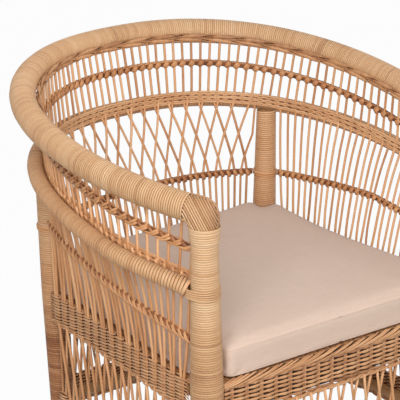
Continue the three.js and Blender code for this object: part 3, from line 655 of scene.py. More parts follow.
for name, post in posts.items():
    wind_post(name, post)
rim_run = Line(rim.part(rim_end, 1 - rim_end, 2401))
wind_horseshoe("rim", winding_look, rim_run, RIM_RADIUS, RIM_STRIP, 18, 0.0006, RIM_RADIUS + 0.8, 2.4)
hoop_end = clear_of(hoop, front_left, LASHING_THICKNESS + 1.0)
hoop_run = Line(hoop.part(hoop_end, 1 - hoop_end, 2401))
wind_horseshoe("hoop", hoop_look, hoop_run, HOOP_RADIUS - 0.5, HOOP_STRIP, 16, 0.0008, HOOP_RADIUS, 3.4)
lash("left", front_left, hoop_run.at(0.0))
lash("right", front_right, hoop_run.at(1.0))


# Arm noses: slanted canes over the bend from the rim down to the post, meeting in a chevron in front

NOSE_CANE = 3.8
NOSE_SECTION = ellipse(NOSE_CANE * 0.94, 2.6)
# The dark core is painted shade that shows in the gaps between the canes.
NOSE_CORE, NOSE_SKIN = RIM_RADIUS - 2.2, RIM_RADIUS - 0.8  # radii of the dark core and of the canes on it
NOSE_SLANT = np.array([0.806, -0.408, 0.432])  # across the canes of the left nose's outer half
NOSE_REACH = math.radians(126)  # how far round from the chevron the canes go
NOSE_SIDES, NOSE_BACK_STEP = 32, 0.17
QUARTER_HANDLE = 0.5523  # handle of a curve round a quarter of a circle, as a share of its radius


class Nose:
    """Surface of an arm nose: a bend that is fuller on its outside."""

    def __init__(self, post, share, way):
        along = rim.along(share) * way
        start = rim.at(share) + along * FIT
        end = post.axis(ARM_HEIGHT - CAP_BEND)
        handle = QUARTER_HANDLE * CAP_BEND
        t = np.linspace(0, 1, 80)[:, None]
        knots = [start, start + along * handle, end + UP * handle, end]
        weights = [(1 - t) ** 3, 3 * t * (1 - t) ** 2, 3 * t ** 2 * (1 - t), t ** 3]
        self.bend = Line(sum(weight * knot for weight, knot in zip(weights, knots)))
        self.across = unit(np.cross(along, -UP))

    def at(self, share, turn, radius):
        """Points and outward directions, at a turn from the outside of the bend towards the left."""
        tangent = self.bend.along(share)
        outward = unit(np.cross(tangent, self.across))
        right = np.cross(tangent, outward)
        fuller = 1 + CAP_SWELL / RIM_RADIUS * np.sin(math.pi * share) ** 2 * (np.cos(turn) > 0)
        radial = outward * (np.cos(turn) * fuller)[..., None] - right * np.sin(turn)[..., None]
        return self.bend.at(share) + radial * radius, unit(radial)


def arm_nose(side, post, share, way):
    nose = Nose(post, share, way)
    canes = Canes()
    turns = np.linspace(0, -2 * math.pi, NOSE_SIDES, endpoint=False)
    # Dark core under the canes: painted shade in the gaps between them.
    core = [nose.at(np.full(NOSE_SIDES, place), turns, NOSE_CORE)[0] for place in np.linspace(0, 1, 20)]
    canes.skin(np.array(core), 0.02)

    shares = np.linspace(0.0, 1.0, 61)
    reach = np.linspace(0, NOSE_REACH, 90)
    for half in (-1, 1):
        slant = NOSE_SLANT * (-half, 1, 1)
        rows = [nose.at(np.full(len(reach), place), half * reach, RIM_RADIUS)[0] for place in shares]
        heights = np.array([row @ slant for row in rows])
        for level in np.arange(heights.min(), heights.max(), NOSE_CANE):
            turn = np.array([np.interp(level, row[::-1], reach[::-1], np.nan, np.nan) for row in heights])
            kept = np.flatnonzero(np.isfinite(turn))
            for run in np.split(kept, np.flatnonzero(np.diff(kept) > 1) + 1):
                if len(run) < 5:
                    continue
                points, normals = nose.at(shares[run], half * turn[run], NOSE_SKIN)
                canes.sweep(points, NOSE_SECTION, normals, draw.uniform(0.3, 0.85))
    for turn in np.arange(NOSE_REACH + 0.12, 2 * math.pi - NOSE_REACH, NOSE_BACK_STEP):
        points, normals = nose.at(shares, np.full(len(shares), turn), NOSE_SKIN)
        canes.sweep(points, NOSE_SECTION, normals, draw.uniform(0.2, 0.6))
    canes.piece(f"{side}_arm_nose", winding_look, "binding", [f"{side}_arm_cap"])


arm_nose("left", front_left, rim_end, -1)
arm_nose("right", front_right, 1 - rim_end, 1)


# Twined courses: canes that wrap and pass the stakes

def cane_tone(place):
    """Tones along a cane that runs past many stakes."""
    tone = draw.uniform(0.35, 0.65) + 0.12 * np.sin(place * 0.35 + draw.uniform(0, 6))
    return np.clip(tone + draw.normal(0, 0.05, len(place)), 0, 1)


def stretched(function, count):
    """A function of a share, taken at places counted in stakes and run straight on past both ends."""
    def at(place):
        share = place / (count - 1)
        inner = np.clip(share, 0, 1)
        step = 1.0 / (count - 1)
        value = function(inner)
        before = function(np.zeros(1)) - function(np.full(1, step))
        beyond = function(np.ones(1)) - function(np.full(1, 1 - step))
        low = np.maximum(-share, 0)[:, None] / step
        high = np.maximum(share - 1, 0)[:, None] / step
        return value + before * low + beyond * high
    return at


def outward_of(count, function):
    return lambda place: function(place / (count - 1))


def moved(points, away, lift, depth):
    """Points lifted and pushed outward, each by its own lengths."""
    return points + UP * np.asarray(lift)[..., None] + away * np.asarray(depth)[..., None]


def lay_cane(canes, points, away, lift, depth, section, tone, swell=1.0):
    """One cane of a row, lifted and pushed outward from the row's line."""
    canes.sweep(moved(points, away, lift, depth), section, away, tone, swell)


COURSE_START, COURSE_STEPS = 0.8, 8  # how far a course runs past its stakes, and its points for each
WRAP_SHARE, WRAP_WIDTH, WRAP_RISE = 0.58, 11.0, 5.8  # of the stakes' pitch, at most, and up the slant
OVER_SHARE, OVER_MOST, OVER_PART = 0.18, 5.2, 0.11  # a pair's canes: of the pitch, at most, and how far apart
BOLDER = 1.35
UNEVEN = 0.03  # how far canes stray along a course, in stakes
OVER_WAY = (0, 0.35, 0.6, 1)  # shares of a pair's way over its stake, and what is true at them
OVER_ALONG, OVER_LIFT = (-0.25, 0.1, 0.4, 1.2), (5.2, 1.4, -2.8, -5.4)
OVER_DEPTH, OVER_WIDTH = (3.0, 5.4, 5.0, 3.2), (0.8, 1, 0.85, 0.4)


def course(canes, line, out, count, tips=0, hand=1):
    """A twined course at a line of stakes. Inside, a cane wraps each stake on the slant, with dark sheets as
    painted shade between two. Outside, a pair of canes drops over its stake and runs out along the lower
    edge, and a fellow comes up darkened by painted shade before the next pair. The first stakes, by the count
    of tips, are bolder and have a cut end, darker towards its tip as painted shade."""
    base, outward = stretched(line, count), outward_of(count, out)

    def lay(place, *shape):
        lay_cane(canes, base(place), outward(place), *shape)

    whole = np.linspace(-COURSE_START, count - 1 + COURSE_START, count * COURSE_STEPS + 1)
    pitch = np.linalg.norm(base(np.ones(1)) - base(np.zeros(1)))
    # A dark sheet inside the course: painted shade between the stakes.
    lay(whole, 0.0, 0.4, ellipse(9.0, 1.0), -0.1)
    lay(whole, 4.6, -0.8, ellipse(4.2, 2.6), cane_tone(whole) - 0.3)
    slant = np.linspace(-1, 1, 7)
    wrap = ellipse(min(WRAP_SHARE * pitch, WRAP_WIDTH), 3.0)
    for stake in range(count):
        place = stake + 0.25 * slant + draw.normal(0, UNEVEN)
        rise = WRAP_RISE * hand * slant + draw.normal(0, 0.4)
        near, tone = -1.6 - 3.2 * (1 - slant ** 2), draw.uniform(0.15, 0.45)
        lay(place, rise, near, wrap, tone, 1 - 0.3 * slant ** 2)
    # A dark sheet outside the course: painted shade between the stakes.
    lay(whole, 0.6, 3.0, ellipse(11.0, 1.0), -0.16)
    way = np.linspace(0, 1, 9)
    along, lift, depth, width = (
        np.interp(way, OVER_WAY, values) for values in (OVER_ALONG, OVER_LIFT, OVER_DEPTH, OVER_WIDTH))
    for stake in range(count):
        bold = BOLDER if stake < tips else 1.0
        section = ellipse(min(OVER_SHARE * pitch, OVER_MOST) * bold, 3.0)
        for half in (-1, 1):
            place = stake + along + OVER_PART * half + draw.normal(0, UNEVEN)
            lay(place, bold * lift + 0.8 * half, depth, section, draw.uniform(0.25, 0.6), width)
        place = stake + np.linspace(0.3, 0.72, 5) + draw.normal(0, UNEVEN)
        rise = bold * np.linspace(-2.0, 5.0, 5)
        # The fellow darkens as it comes up: painted shade.
        tone = np.linspace(0.2, -0.1, 5) + draw.uniform(0, 0.15)
        lay(place, rise, 3.9 + 0.2 * rise, ellipse(4.2 * bold, 3.0), tone)
    for stake in range(tips):
        place = np.full(1, stake - 0.3)
        away = outward(place)[0]
        start = base(place)[0] + away * 3.4 + UP * 2.5
        bend = start + away * draw.uniform(0.8, 2.0) + UP * draw.uniform(2.5, 4.0)
        tip = bend + away * draw.uniform(-1.5, 1.5) + UP * draw.uniform(0.5, 2.0) + draw.normal(0, 0.8, 3)
        # The cut end darkens towards its tip: painted shade.
        canes.cane(np.array([start, (start + bend) / 2, bend, tip]), 1.9, np.array([0.3, 0.2, 0.05, -0.1]))


# Gallery

TUCK = 2.4  # how far stakes lie behind the canes of a band
GALLERY_TIPS = 34  # bold stakes with cut ends, from the left arm on
GALLERY_LEAN = 26.0  # how far a stake's head stands on from its foot, along the rim
LEAN_SHARES = (0, 0.1, 0.28, 0.42, 0.5, 0.58, 0.68, 0.9, 1)
LEANS = (0, 1, 1, -0.1, -0.1, 0.3, 1, 1, 0)
gallery = Canes()
foot_start = clear_of(band, front_left, POST_MARGIN)
head_start = max(clear_of(border, front_left, POST_MARGIN), rim_end)


def crowded(share):
    """Shares of the gallery's run at even shares of its stakes."""
    return share + GALLERY_CROWDING * np.sin(2 * math.pi * share) / (2 * math.pi)


def gallery_foot(share):
    return band.at(between(foot_start, 1 - foot_start, crowded(share)))


def gallery_head(share):
    """Heads of the stakes. All lean the same way round the chair, less at the back and by the front posts."""
    lean = GALLERY_LEAN * np.interp(share, LEAN_SHARES, LEANS)
    return border.at(between(head_start, 1 - head_start, crowded(share)) + lean / border.length)


def gallery_out(share):
    return -band.inward(between(foot_start, 1 - foot_start, crowded(np.clip(share, 0, 1))))


for share in np.linspace(0, 1, GALLERY_STAKES):
    out = gallery_out(share)
    foot, head = gallery_foot(share) + out * TUCK, gallery_head(share) + out * TUCK
    heights = np.linspace(-0.04, 1.02, 7)[:, None]
    line = foot + (head - foot) * heights
    line += draw.normal(0, 0.5, 3) * np.sin(math.pi * np.clip(heights, 0, 1))
    gallery.cane(line, STAKE_RADIUS * draw.uniform(0.92, 1.03))


def gallery_course(share):
    foot, head = gallery_foot(share), gallery_head(share)
    height = between(GALLERY_COURSE_FRONT, GALLERY_COURSE_BACK, np.sin(math.pi * np.asarray(share)))
    return between(foot, head, np.asarray(height)[..., None]) + gallery_out(share) * TUCK


course(gallery, gallery_course, gallery_out, GALLERY_STAKES, GALLERY_TIPS)
gallery.piece("gallery_canes", stake_look, "stake", ["gallery"])


# Triple band, and the border along the inside of the rim: two rows of two canes that turn round each other

TRIPLE_CANES = ((-9.6, 0), (-5.8, -1), (-1.9, 1), (1.9, -1), (5.8, 1), (9.6, 0))  # lift, and way round a hole
# The band's left part is darker with painted shade, where the hoop shades the gallery.
LEFT_SHADE_SHARE = 0.22  # share of the band, on the left, that is darker
BORDER_STAKES, BORDER_STEPS = 28, 12
BORDER_ROW, BORDER_SWING, BORDER_SHADE = 3.6, 2.2, 0.1

triple = Canes()
place = np.linspace(-0.6, GALLERY_STAKES - 0.4, GALLERY_STAKES * 6)
points = stretched(gallery_foot, GALLERY_STAKES)(place)
away = outward_of(GALLERY_STAKES, gallery_out)(place)
hole = np.maximum(-np.cos(2 * math.pi * place), 0) ** 0.7
# The whole band is paler by 0.2, and its left part darker by painted shade.
paler_with_left_shade = 0.2 - 0.35 * np.clip(1.3 - np.arange(len(points)) / (LEFT_SHADE_SHARE * len(points)), 0, 1)
for lift, parted in TRIPLE_CANES:
    wander = 0.4 * np.sin(place * 0.9 + draw.uniform(0, 6))
    depth = 0.7 * np.sin(math.pi * place + draw.uniform(0, 6))
    raised = lift + 1.3 * parted * hole + wander
    lay_cane(triple, points, away, raised, depth, ellipse(4.1, 4.4), cane_tone(place) + paler_with_left_shade)
# A dark sheet behind the canes: painted shade in the holes of the band.
lay_cane(triple, points, away, 0.0, 0.0, ellipse(15.0, 1.2), -0.1)
triple.piece("triple_plait", weave_look, "weave", ["triple_band"])

plait = Canes()
border_start = rim_end + 6.0 / rim.length
place = np.linspace(0, BORDER_STAKES - 1, (BORDER_STAKES - 1) * BORDER_STEPS + 2)
share = between(border_start, 1 - border_start, place / (BORDER_STAKES - 1))
away = -border.inward(share)
for lift, hand in ((-BORDER_ROW, 1), (BORDER_ROW, -1)):
    for strand in (0, 1):
        angle = math.pi * (place + strand)
        swing, twist = np.cos(angle), hand * np.sin(angle)
        crossing = 1 - swing ** 2
        path = moved(border.at(share), away, lift + BORDER_SWING * twist, BORDER_SWING * swing)
        turned = moved(0, away, 0.85 * twist * crossing, swing)
        plait.sweep(path, ellipse(7.2, 2.6), turned, cane_tone(place) - BORDER_SHADE * crossing)
plait.piece("border_plait", weave_look, "weave", ["border_braid"])


# Walls between the seat bands and the triple band

class Wall:
    """A wall's surface, from inside a seat band up to the triple band."""

    def __init__(self, side, head_from, head_to, flare, course):
        self.side, self.head_from, self.head_to, self.flare = side, head_from, head_to, flare
        self.seat = SEAT_HEIGHT - side.band_height / 2
        self.start, self.end = side.span(SEAT_HEIGHT, WALL_MARGIN)
        self.length = side.run(SEAT_HEIGHT) * (self.end - self.start)
        top = band.at((head_from + head_to) / 2)[2]
        self.seat_share = (SEAT_HEIGHT - self.seat) / (top - self.seat)
        self.course_shares = course

    def at(self, share, height, layer=0.0):
        share, height = np.broadcast_arrays(np.clip(share, 0, 1), height)
        foot = self.side.at(between(self.start, self.end, share), self.seat, layer)
        where = between(self.head_from, self.head_to, share)
        head = band.at(where) - band.inward(where) * np.asarray(layer)[..., None]
        point = foot + (head - foot) * (height ** self.flare)[..., None]
        point[..., 2] = between(foot[..., 2], head[..., 2], height)
        return point

    def out(self, share):
        where = between(self.head_from, self.head_to, np.clip(share, 0, 1))
        return unit(-band.inward(where) + self.side.outward())

    def course(self, share):
        """The course from the wall's first stake to its last."""
        inset = PAIR_SPREAD / self.side.pairs
        share = between(inset, 1 - inset, share)
        return self.at(share, self.course_at(share))

    def course_at(self, share):
        """Height of the course, as a share of the wall, by the shares at its start, middle and end."""
        return between(self.seat_share, 1, np.interp(share, (0, 0.5, 1), self.course_shares))

    def below(self, share):
        """The foot of a stake, down inside the seat band."""
        point = self.side.at(between(self.start, self.end, np.clip(share, 0, 1)), self.seat)
        point[..., 2] = SEAT_HEIGHT - self.side.band_height + 5.0
        return point


def post_tie(canes, post, z):
    """Where a course is tied off, two turns of its cane round a post."""
    angle, radial = level_ring(33)
    for lift in (-2.4, 2.4):
        ring = post.axis(z + lift + 0.8 * np.sin(angle)) + radial * (post.radius(z) + 1.0)
        canes.sweep(ring, ellipse(4.6, 2.8), radial, draw.uniform(0.3, 0.6))


def crooked(line, spread):
    """A wall's stake, bent a little between the seat band and the triple band."""
    bend = np.sin(math.pi * np.linspace(0, 1, len(line) - 3))[:, None]
    line[2:-1] += draw.normal(0, spread, 3) * bend
    return line


head_front = clear_of(band, front_left, WALL_MARGIN)
head_back = clear_of(band, rear_left, WALL_MARGIN)


def before_rear(p):
    axis = rear_left.axis(min(p[2], rear_left.top))
    near = math.hypot(p[0] - axis[0], p[1] - axis[1]) < rear_left.radius(p[2]) + WALL_MARGIN
    return p[1] > axis[1] or near


head_corner = band.share_where(before_rear)

STAKE_HEAD = 1.03  # how far up the wall's stakes go, behind the triple band
OPENING = 0.26  # share of a wall in which a pair's stakes come apart
LATTICE_RADIUS, LATTICE_LAYER, LATTICE_START = 2.3, 2.4, 0.04  # of the back wall's crossed stakes


def side_wall(name, wall, thickness, tips, hand):
    canes = Canes()
    pairs = wall.side.pairs
    heights = np.linspace(0, STAKE_HEAD, 15)
    opened = np.clip((heights - wall.seat_share) / OPENING, 0, 1)
    opened = opened * opened * (3 - 2 * opened)
    for middle, way in wall.side.stakes():
        shares = middle + way * between(PAIR_GAP / 2 / wall.length, PAIR_SPREAD / pairs, opened)
        line = wall.at(shares, heights, TUCK * np.clip((heights - 0.8) / 0.15, 0, 1))
        line = crooked(np.concatenate([wall.below(shares[:1]), line]), 0.9)
        canes.cane(line, thickness * draw.uniform(0.92, 1.06))
    course(canes, wall.course, wall.out, 2 * pairs, tips, hand)
    canes.piece(f"{name}_wall_canes", stake_look, "stake", [f"{name}_panel"])


def back_wall(wall):
    """The back: stakes straight up to the course, and crossed above it."""
    canes = Canes()
    for middle, way in wall.side.stakes():
        foot = middle - way * PAIR_SPREAD / BACK_PAIRS
        head = foot + way * LATTICE_SHIFT / BACK_PAIRS
        course_at = float(wall.course_at(foot))
        lower = np.linspace(0, course_at, 4)
        upper = np.linspace(course_at, STAKE_HEAD, 7)[1:]
        leaning = course_at + LATTICE_START
        drift = np.clip((upper - leaning) / (1 - leaning), 0, 1)
        shares = np.concatenate([np.full(4, foot), between(foot, head, drift)])
        crossed, tucked = np.full(4, way * LATTICE_LAYER), np.full(2, TUCK + way * LATTICE_LAYER / 2)
        layers = np.concatenate([np.zeros(4), crossed, tucked])
        line = wall.at(shares, np.concatenate([lower, upper]), layers)
        line = crooked(np.concatenate([wall.below(np.full(1, foot)), line]), 0.6)
        canes.cane(line, LATTICE_RADIUS * draw.uniform(0.92, 1.05))
    course(canes, wall.course, wall.out, 2 * BACK_PAIRS)
    for post in (rear_left, rear_right):
        post_tie(canes, post, wall.course(np.zeros(1))[0, 2])
    canes.piece("back_wall_canes", stake_look, "stake", ["back_panel"])


left_wall = Wall(sides["left"], head_corner, head_front, SIDE_FLARE, (0.5, 0.465, 0.455))
right_wall = Wall(sides["right"], 1 - head_front, 1 - head_corner, SIDE_FLARE, (0.53, 0.55, 0.45))
side_wall("left", left_wall, 2.6, 2 * SIDE_PAIRS, 1)
side_wall("right", right_wall, 2.35, 0, -1)
back_wall(Wall(sides["back"], 1 - head_back, head_back, BACK_FLARE, (0.45, 0.45, 0.45)))


# Seat bands, skirts and lower bands

FRONT_ROWS, SIDE_ROWS, LOWER_ROWS = 7, 9, 8
FRONT_BORDER, FOOT_BORDER = 9.0, 6.5  # heights of a band's edges above and below its rows
BAND_SPILL = 3.0  # how far the woven canes stand out above and below the side bands' edges
LAP = -1.5  # margin of a row that runs into the posts' windings
ROW_RELIEF = 2.8
ROPE_RADIUS, ROPE_CANE, ROPE_LAY, ROPE_POINTS = 2.0, 2.3, 46.0, 140  # a lay is one turn of the rope


def band_rows(canes, side, top, height, rows):
    """Woven rows that fill a band between two posts. Over each pair of stakes every row is a short length of
    cane that rises to the right, and between two pairs it dips in, darkened there by painted shade. A dark
    backing behind the rows is painted shade too."""
    start, end = side.span(top - height / 2, LAP)
    post_start, post_end = side.span(top - height / 2, POST_MARGIN)
    pitch = (post_end - post_start) / side.pairs
    step = height / rows
    way = np.linspace(-0.5, 0.5, 9)
    swell = np.cos(math.pi * way) ** 0.5
    section = ellipse(step * 0.68, 3.0)
    for row in range(rows):
        z = top - (row + 0.5) * step
        for column in range(side.pairs):
            share = np.clip(post_start + (column + 0.5 + 1.04 * way) * pitch, start, end)
            if column == 0:
                share[0] = start
            if column == side.pairs - 1:
                share[-1] = end
            lift = 0.62 * step * way + draw.normal(0, 0.25)
            # Each short cane darkens towards its ends, where it dips: painted shade.
            tone = draw.uniform(0.45, 0.8) - 0.35 * (1 - swell)
            for face in (1, -1):
                path = side.at(share, z + face * lift, face * (1.0 + ROW_RELIEF * swell))
                canes.sweep(path, section, face * side.outward(), tone, 0.5 + 0.5 * swell)
    # A dark backing behind the rows: painted shade.
    backing = side.at(np.linspace(post_start, post_end, 40), top - height / 2)
    canes.sweep(backing, ellipse(height - 3.0, 1.6), side.outward(), -0.25)


def front_rows(canes, side, top, height, rows):
    """The front band: rows that swell between pairs of stakes and let them show, over a dark backing that is
    painted shade.
    """
    start, end = side.span(top - height / 2, LAP)
    post_start, post_end = side.span(top - height / 2, POST_MARGIN)
    pitch = (post_end - post_start) / (2 * side.pairs)
    share = np.linspace(start, end, 14 * side.pairs)
    place = (share - post_start) / pitch - 0.5
    near = np.cos(math.pi * place)
    step = height / rows
    for row in range(rows):
        wander = 0.7 * np.sin(place * 0.8 + draw.uniform(0, 6))
        wander = wander + 0.4 * np.sin(math.pi * place + draw.uniform(0, 6))
        path = side.at(share, top - (row + 0.5) * step + wander, 1.6 - 1.3 * near)
        section = ellipse(step * 0.62, 2.8)
        canes.sweep(path, section, side.outward(), cane_tone(place) - 0.07, 1 - 0.3 * near)
    ends = np.array([top - height - 4.0, top + 4.0])
    for column in range(0, 2 * side.pairs, 2):
        for way in (-1, 1):
            beside = post_start + (column + 0.5) * pitch + way * 1.9 / side.run(top)
            canes.cane(side.at(np.full(2, beside), ends, np.full(2, -1.4)), 2.0, draw.uniform(0.15, 0.4))
    # A dark backing behind the rows: painted shade in the slots.
    backing = side.at(np.linspace(start, end, 40), top - height / 2 + 4.0, np.full(40, -5.5))
    canes.sweep(backing, ellipse(height + 4.0, 1.2), side.outward(), -0.3)


def rope(canes, side, z, out):
    """A border of two canes laid round each other along the lower edge of a band."""
    share = np.linspace(*side.span(z, LAP), ROPE_POINTS)
    middle = side.at(share, z, np.full(ROPE_POINTS, out))
    away = np.broadcast_to(side.outward(), middle.shape)
    for strand in (0, 1):
        angle = 2 * math.pi * (share * side.run(z) / ROPE_LAY + strand / 2)
        lift, depth = ROPE_RADIUS * np.sin(angle), ROPE_RADIUS * np.cos(angle)
        lay_cane(canes, middle, away, lift, depth, ROUND * ROPE_CANE, draw.uniform(0.3, 0.7))


def rolled_border(canes, side):
    """The front band's top edge: pairs of canes that come up out of the weave and roll over the edge."""
    span = side.span(SEAT_HEIGHT, POST_MARGIN)
    pitch = (span[1] - span[0]) / side.pairs
    way = np.linspace(0, 1, 17)
    climb = 1 - (1 - np.minimum(way / 0.85, 1)) ** 1.6
    over = np.clip((way - 0.85) / 0.15, 0, 1)
    for index in range(-2, side.pairs + 1):
        for cane in (0, 1):
            share = span[0] + (index + 0.1 + 2.6 * way + 0.35 * cane + draw.normal(0, 0.05)) * pitch
            z = SEAT_HEIGHT - 12.0 + 12.6 * climb - 2.0 * over ** 2 + draw.normal(0, 0.6)
            out = np.interp(way, (0, 0.12, 0.35, 0.6, 0.85, 1), (-2.0, 2.8, 4.8, 3.2, -2.5, -9.0))
            kept = (share > span[0] - 0.5 * pitch) & (share < span[1] + 0.5 * pitch)
            if kept.sum() > 3:
                canes.cane(side.at(share, z, out)[kept], 1.8)


def seat_weave(name, side):
    weave = Canes()
    low = SEAT_HEIGHT - side.band_height
    if name == "front":
        rows_top = SEAT_HEIGHT - FRONT_BORDER
        front_rows(weave, side, rows_top, side.band_height - FRONT_BORDER - FOOT_BORDER, FRONT_ROWS)
        rolled_border(weave, side)
    else:
        low = low - BAND_SPILL
        rows_top = SEAT_HEIGHT + BAND_SPILL
        band_rows(weave, side, rows_top, rows_top - low - FOOT_BORDER, SIDE_ROWS)
        span = side.span(SEAT_HEIGHT, POST_MARGIN)
        for middle, way in side.stakes():
            share = between(*span, middle) + way * 2.9 / side.run(SEAT_HEIGHT)
            weave.cane(side.at(np.full(2, share), np.array([low + 3.0, SEAT_HEIGHT])), 2.3)
    rope(weave, side, low + FOOT_BORDER / 2, 1.0)
    weave.piece(f"{name}_seat_weave", weave_look, "weave", [f"{name}_seat_band"])


def skirt_canes(name, side):
    skirt = Canes()
    low = LOWER_BAND_TOP - LOWER_BAND_HEIGHT
    middle = LOWER_BAND_TOP - LOWER_BAND_HEIGHT / 2
    start, end = side.span(middle, POST_MARGIN)
    length = side.run(middle) * (end - start)
    for pair, way in side.stakes():
        head = pair + way * PAIR_GAP / 2 / length
        foot = head + way * SKIRT_SHIFT / side.pairs
        layer = np.array(way * LAYER_OFFSET * 0.9)
        ends = [
            side.at(np.array(between(start, end, min(max(share, 0), 1))), z, layer)
            for share, z in ((head, SEAT_HEIGHT - side.band_height + 6.0), (foot, low + 4.0))
        ]
        line = between(*ends, np.linspace(0, 1, 6)[:, None])
        line[1:-1] += draw.normal(0, 0.7, 3)
        skirt.cane(line, STAKE_RADIUS * draw.uniform(0.9, 1.05))
    band_rows(skirt, side, LOWER_BAND_TOP, LOWER_BAND_HEIGHT - 7.0, LOWER_ROWS)
    rope(skirt, side, low + 3.5, 0.0)
    skirt.piece(f"{name}_skirt_canes", stake_look, "stake", [f"{name}_skirt"])


for name, side in sides.items():
    seat_weave(name, side)
for name, side in sides.items():
    skirt_canes(name, side)


# Rails: round poles between the posts, a little thicker at their knots

KNOT_SPACING, KNOT_LENGTH, KNOT_SWELL = 170.0, 4.0, 0.03


def rail(side, kind, z, radius):
    canes = Canes()
    run = sides[side]
    straight = Side(run.start, run.end, run.offset, 0.0, run.pairs, run.band_height)
    share = np.linspace(*run.span(z, -1.0), 90)
    walked = share * run.run(z)
    knots = np.exp(-((walked % KNOT_SPACING - KNOT_SPACING / 2) / KNOT_LENGTH) ** 2)
    points = straight.at(share, z, np.full(len(share), -(SEAT_BAND_THICKNESS / 2 + FIT + radius)))
    section = ellipse(2 * radius, 2 * radius, 16)
    canes.sweep(points, section, UP, 0.5 - 0.35 * knots, 1 - KNOT_SWELL + KNOT_SWELL * knots)
    canes.piece(f"{side}_{kind}_pole", rail_look, "pole", [f"{side}_{kind}_rail"])


for name in sides:
    rail(name, "seat", SEAT_HEIGHT - DECK_THICKNESS - FIT - SEAT_RAIL_RADIUS, SEAT_RAIL_RADIUS)
    rail(name, "lower", LOWER_BAND_TOP - LOWER_BAND_HEIGHT / 2, LOWER_RAIL_RADIUS)


# Seat deck: flat canes woven over and under, cut to fit round the posts

DECK_PITCH, DECK_GAP, DECK_WAVE = 13.0, 1.2, 1.15
DECK_STEPS = 4  # points of a cane from one crossing to the next


def deck_weave():
    canes = Canes()
    pitch = DECK_PITCH
    level = SEAT_HEIGHT - DECK_THICKNESS / 2
    inner = SIDE_BAND_OFFSET - SEAT_BAND_THICKNESS / 2 - FIT
    front = FRONT_Y - FRONT_BAND_OFFSET + SEAT_BAND_THICKNESS / 2 + FIT
    back = REAR_Y + inner
    section = ellipse(pitch - DECK_GAP, 1.9)

    def half_width(y):
        """How far a cane across the seat goes to each side."""
        line = between(front_right.x, rear_right.x, (y - FRONT_Y) / POST_DEPTH) + inner
        for post in (front_right, rear_right):
            reach = post.radius(SEAT_HEIGHT) + FIT
            if abs(y - post.y) < reach:
                line = min(line, post.x - math.sqrt(reach ** 2 - (y - post.y) ** 2))
        return line

    def ends(x):
        """Where a cane from front to back begins and ends."""
        low, high = front, back
        for post, first in ((front_right, True), (rear_right, False)):
            reach = post.radius(SEAT_HEIGHT) + FIT
            if abs(abs(x) - post.x) < reach:
                chord = math.sqrt(reach ** 2 - (abs(x) - post.x) ** 2)
                low, high = (post.y + chord, high) if first else (low, post.y - chord)
        slope = (rear_right.x - front_right.x) / POST_DEPTH
        side_y = FRONT_Y + (abs(x) - inner - front_right.x) / slope
        return low, min(high, side_y) if side_y > front else high

    def lay(x, y, lift):
        points = np.stack(np.broadcast_arrays(x, y, level + lift), -1)
        canes.sweep(points, section, UP, draw.uniform(0.25, 0.7))

    for index in range(int((back - front) / pitch)):
        y = front + (index + 0.5) * pitch
        reach = half_width(y) - pitch * 0.1
        x = np.linspace(-reach, reach, int(2 * reach / pitch * DECK_STEPS))
        lay(x, y, DECK_WAVE * np.cos(math.pi * (x / pitch + index)))
    widest = front_right.x + inner
    for index in range(int(2 * widest / pitch)):
        x = -widest + (index + 0.5) * pitch
        low, high = ends(x)
        if high - low < 4 * pitch:
            continue
        y = np.linspace(low, high, int((high - low) / pitch * DECK_STEPS))
        lay(x, y, -DECK_WAVE * np.cos(math.pi * (x / pitch + (y - front) / pitch - 0.5)))
    canes.piece("deck_weave", weave_look, "weave", ["seat_deck"])


deck_weave()


# Cushion

# How far in from the outline a ring lies, then its share of the thickness and of the crown
CUSHION_SECTION = np.array([
    [200, 0, 0], [60, 0, 0], [14, 0, 0], [7, 0.03, 0], [3, 0.09, 0], [1, 0.18, 0], [0, 0.3, 0],
    [0, 0.5, 0], [0, 0.72, 0], [0.8, 0.87, 0], [2, 0.95, 0], [4.5, 0.99, 0.06], [12, 1, 0.28],
    [30, 1, 0.55], [60, 1, 0.78], [100, 1, 0.9], [150, 1, 0.97], [200, 1, 1],
])
START_INSET, START_CROWN = 1.5, 0.8  # the cover before it is filled, smaller by the inset, with less crown
REAR_LIFT, CORNER_LIFT = 7.0, 5.0  # the cushion is plumper at the rear, where it leans on the posts
REAR_RAMP, CORNER_REACH = 170.0, 60.0
FILL_VOXEL, FILL_HELD, FILL_FRAMES, FILL_PRESSURE = 0.005, 0.004, 20, 4.0
SWELL_CAP = 5.0  # the most that a point of the cover moves when it is filled
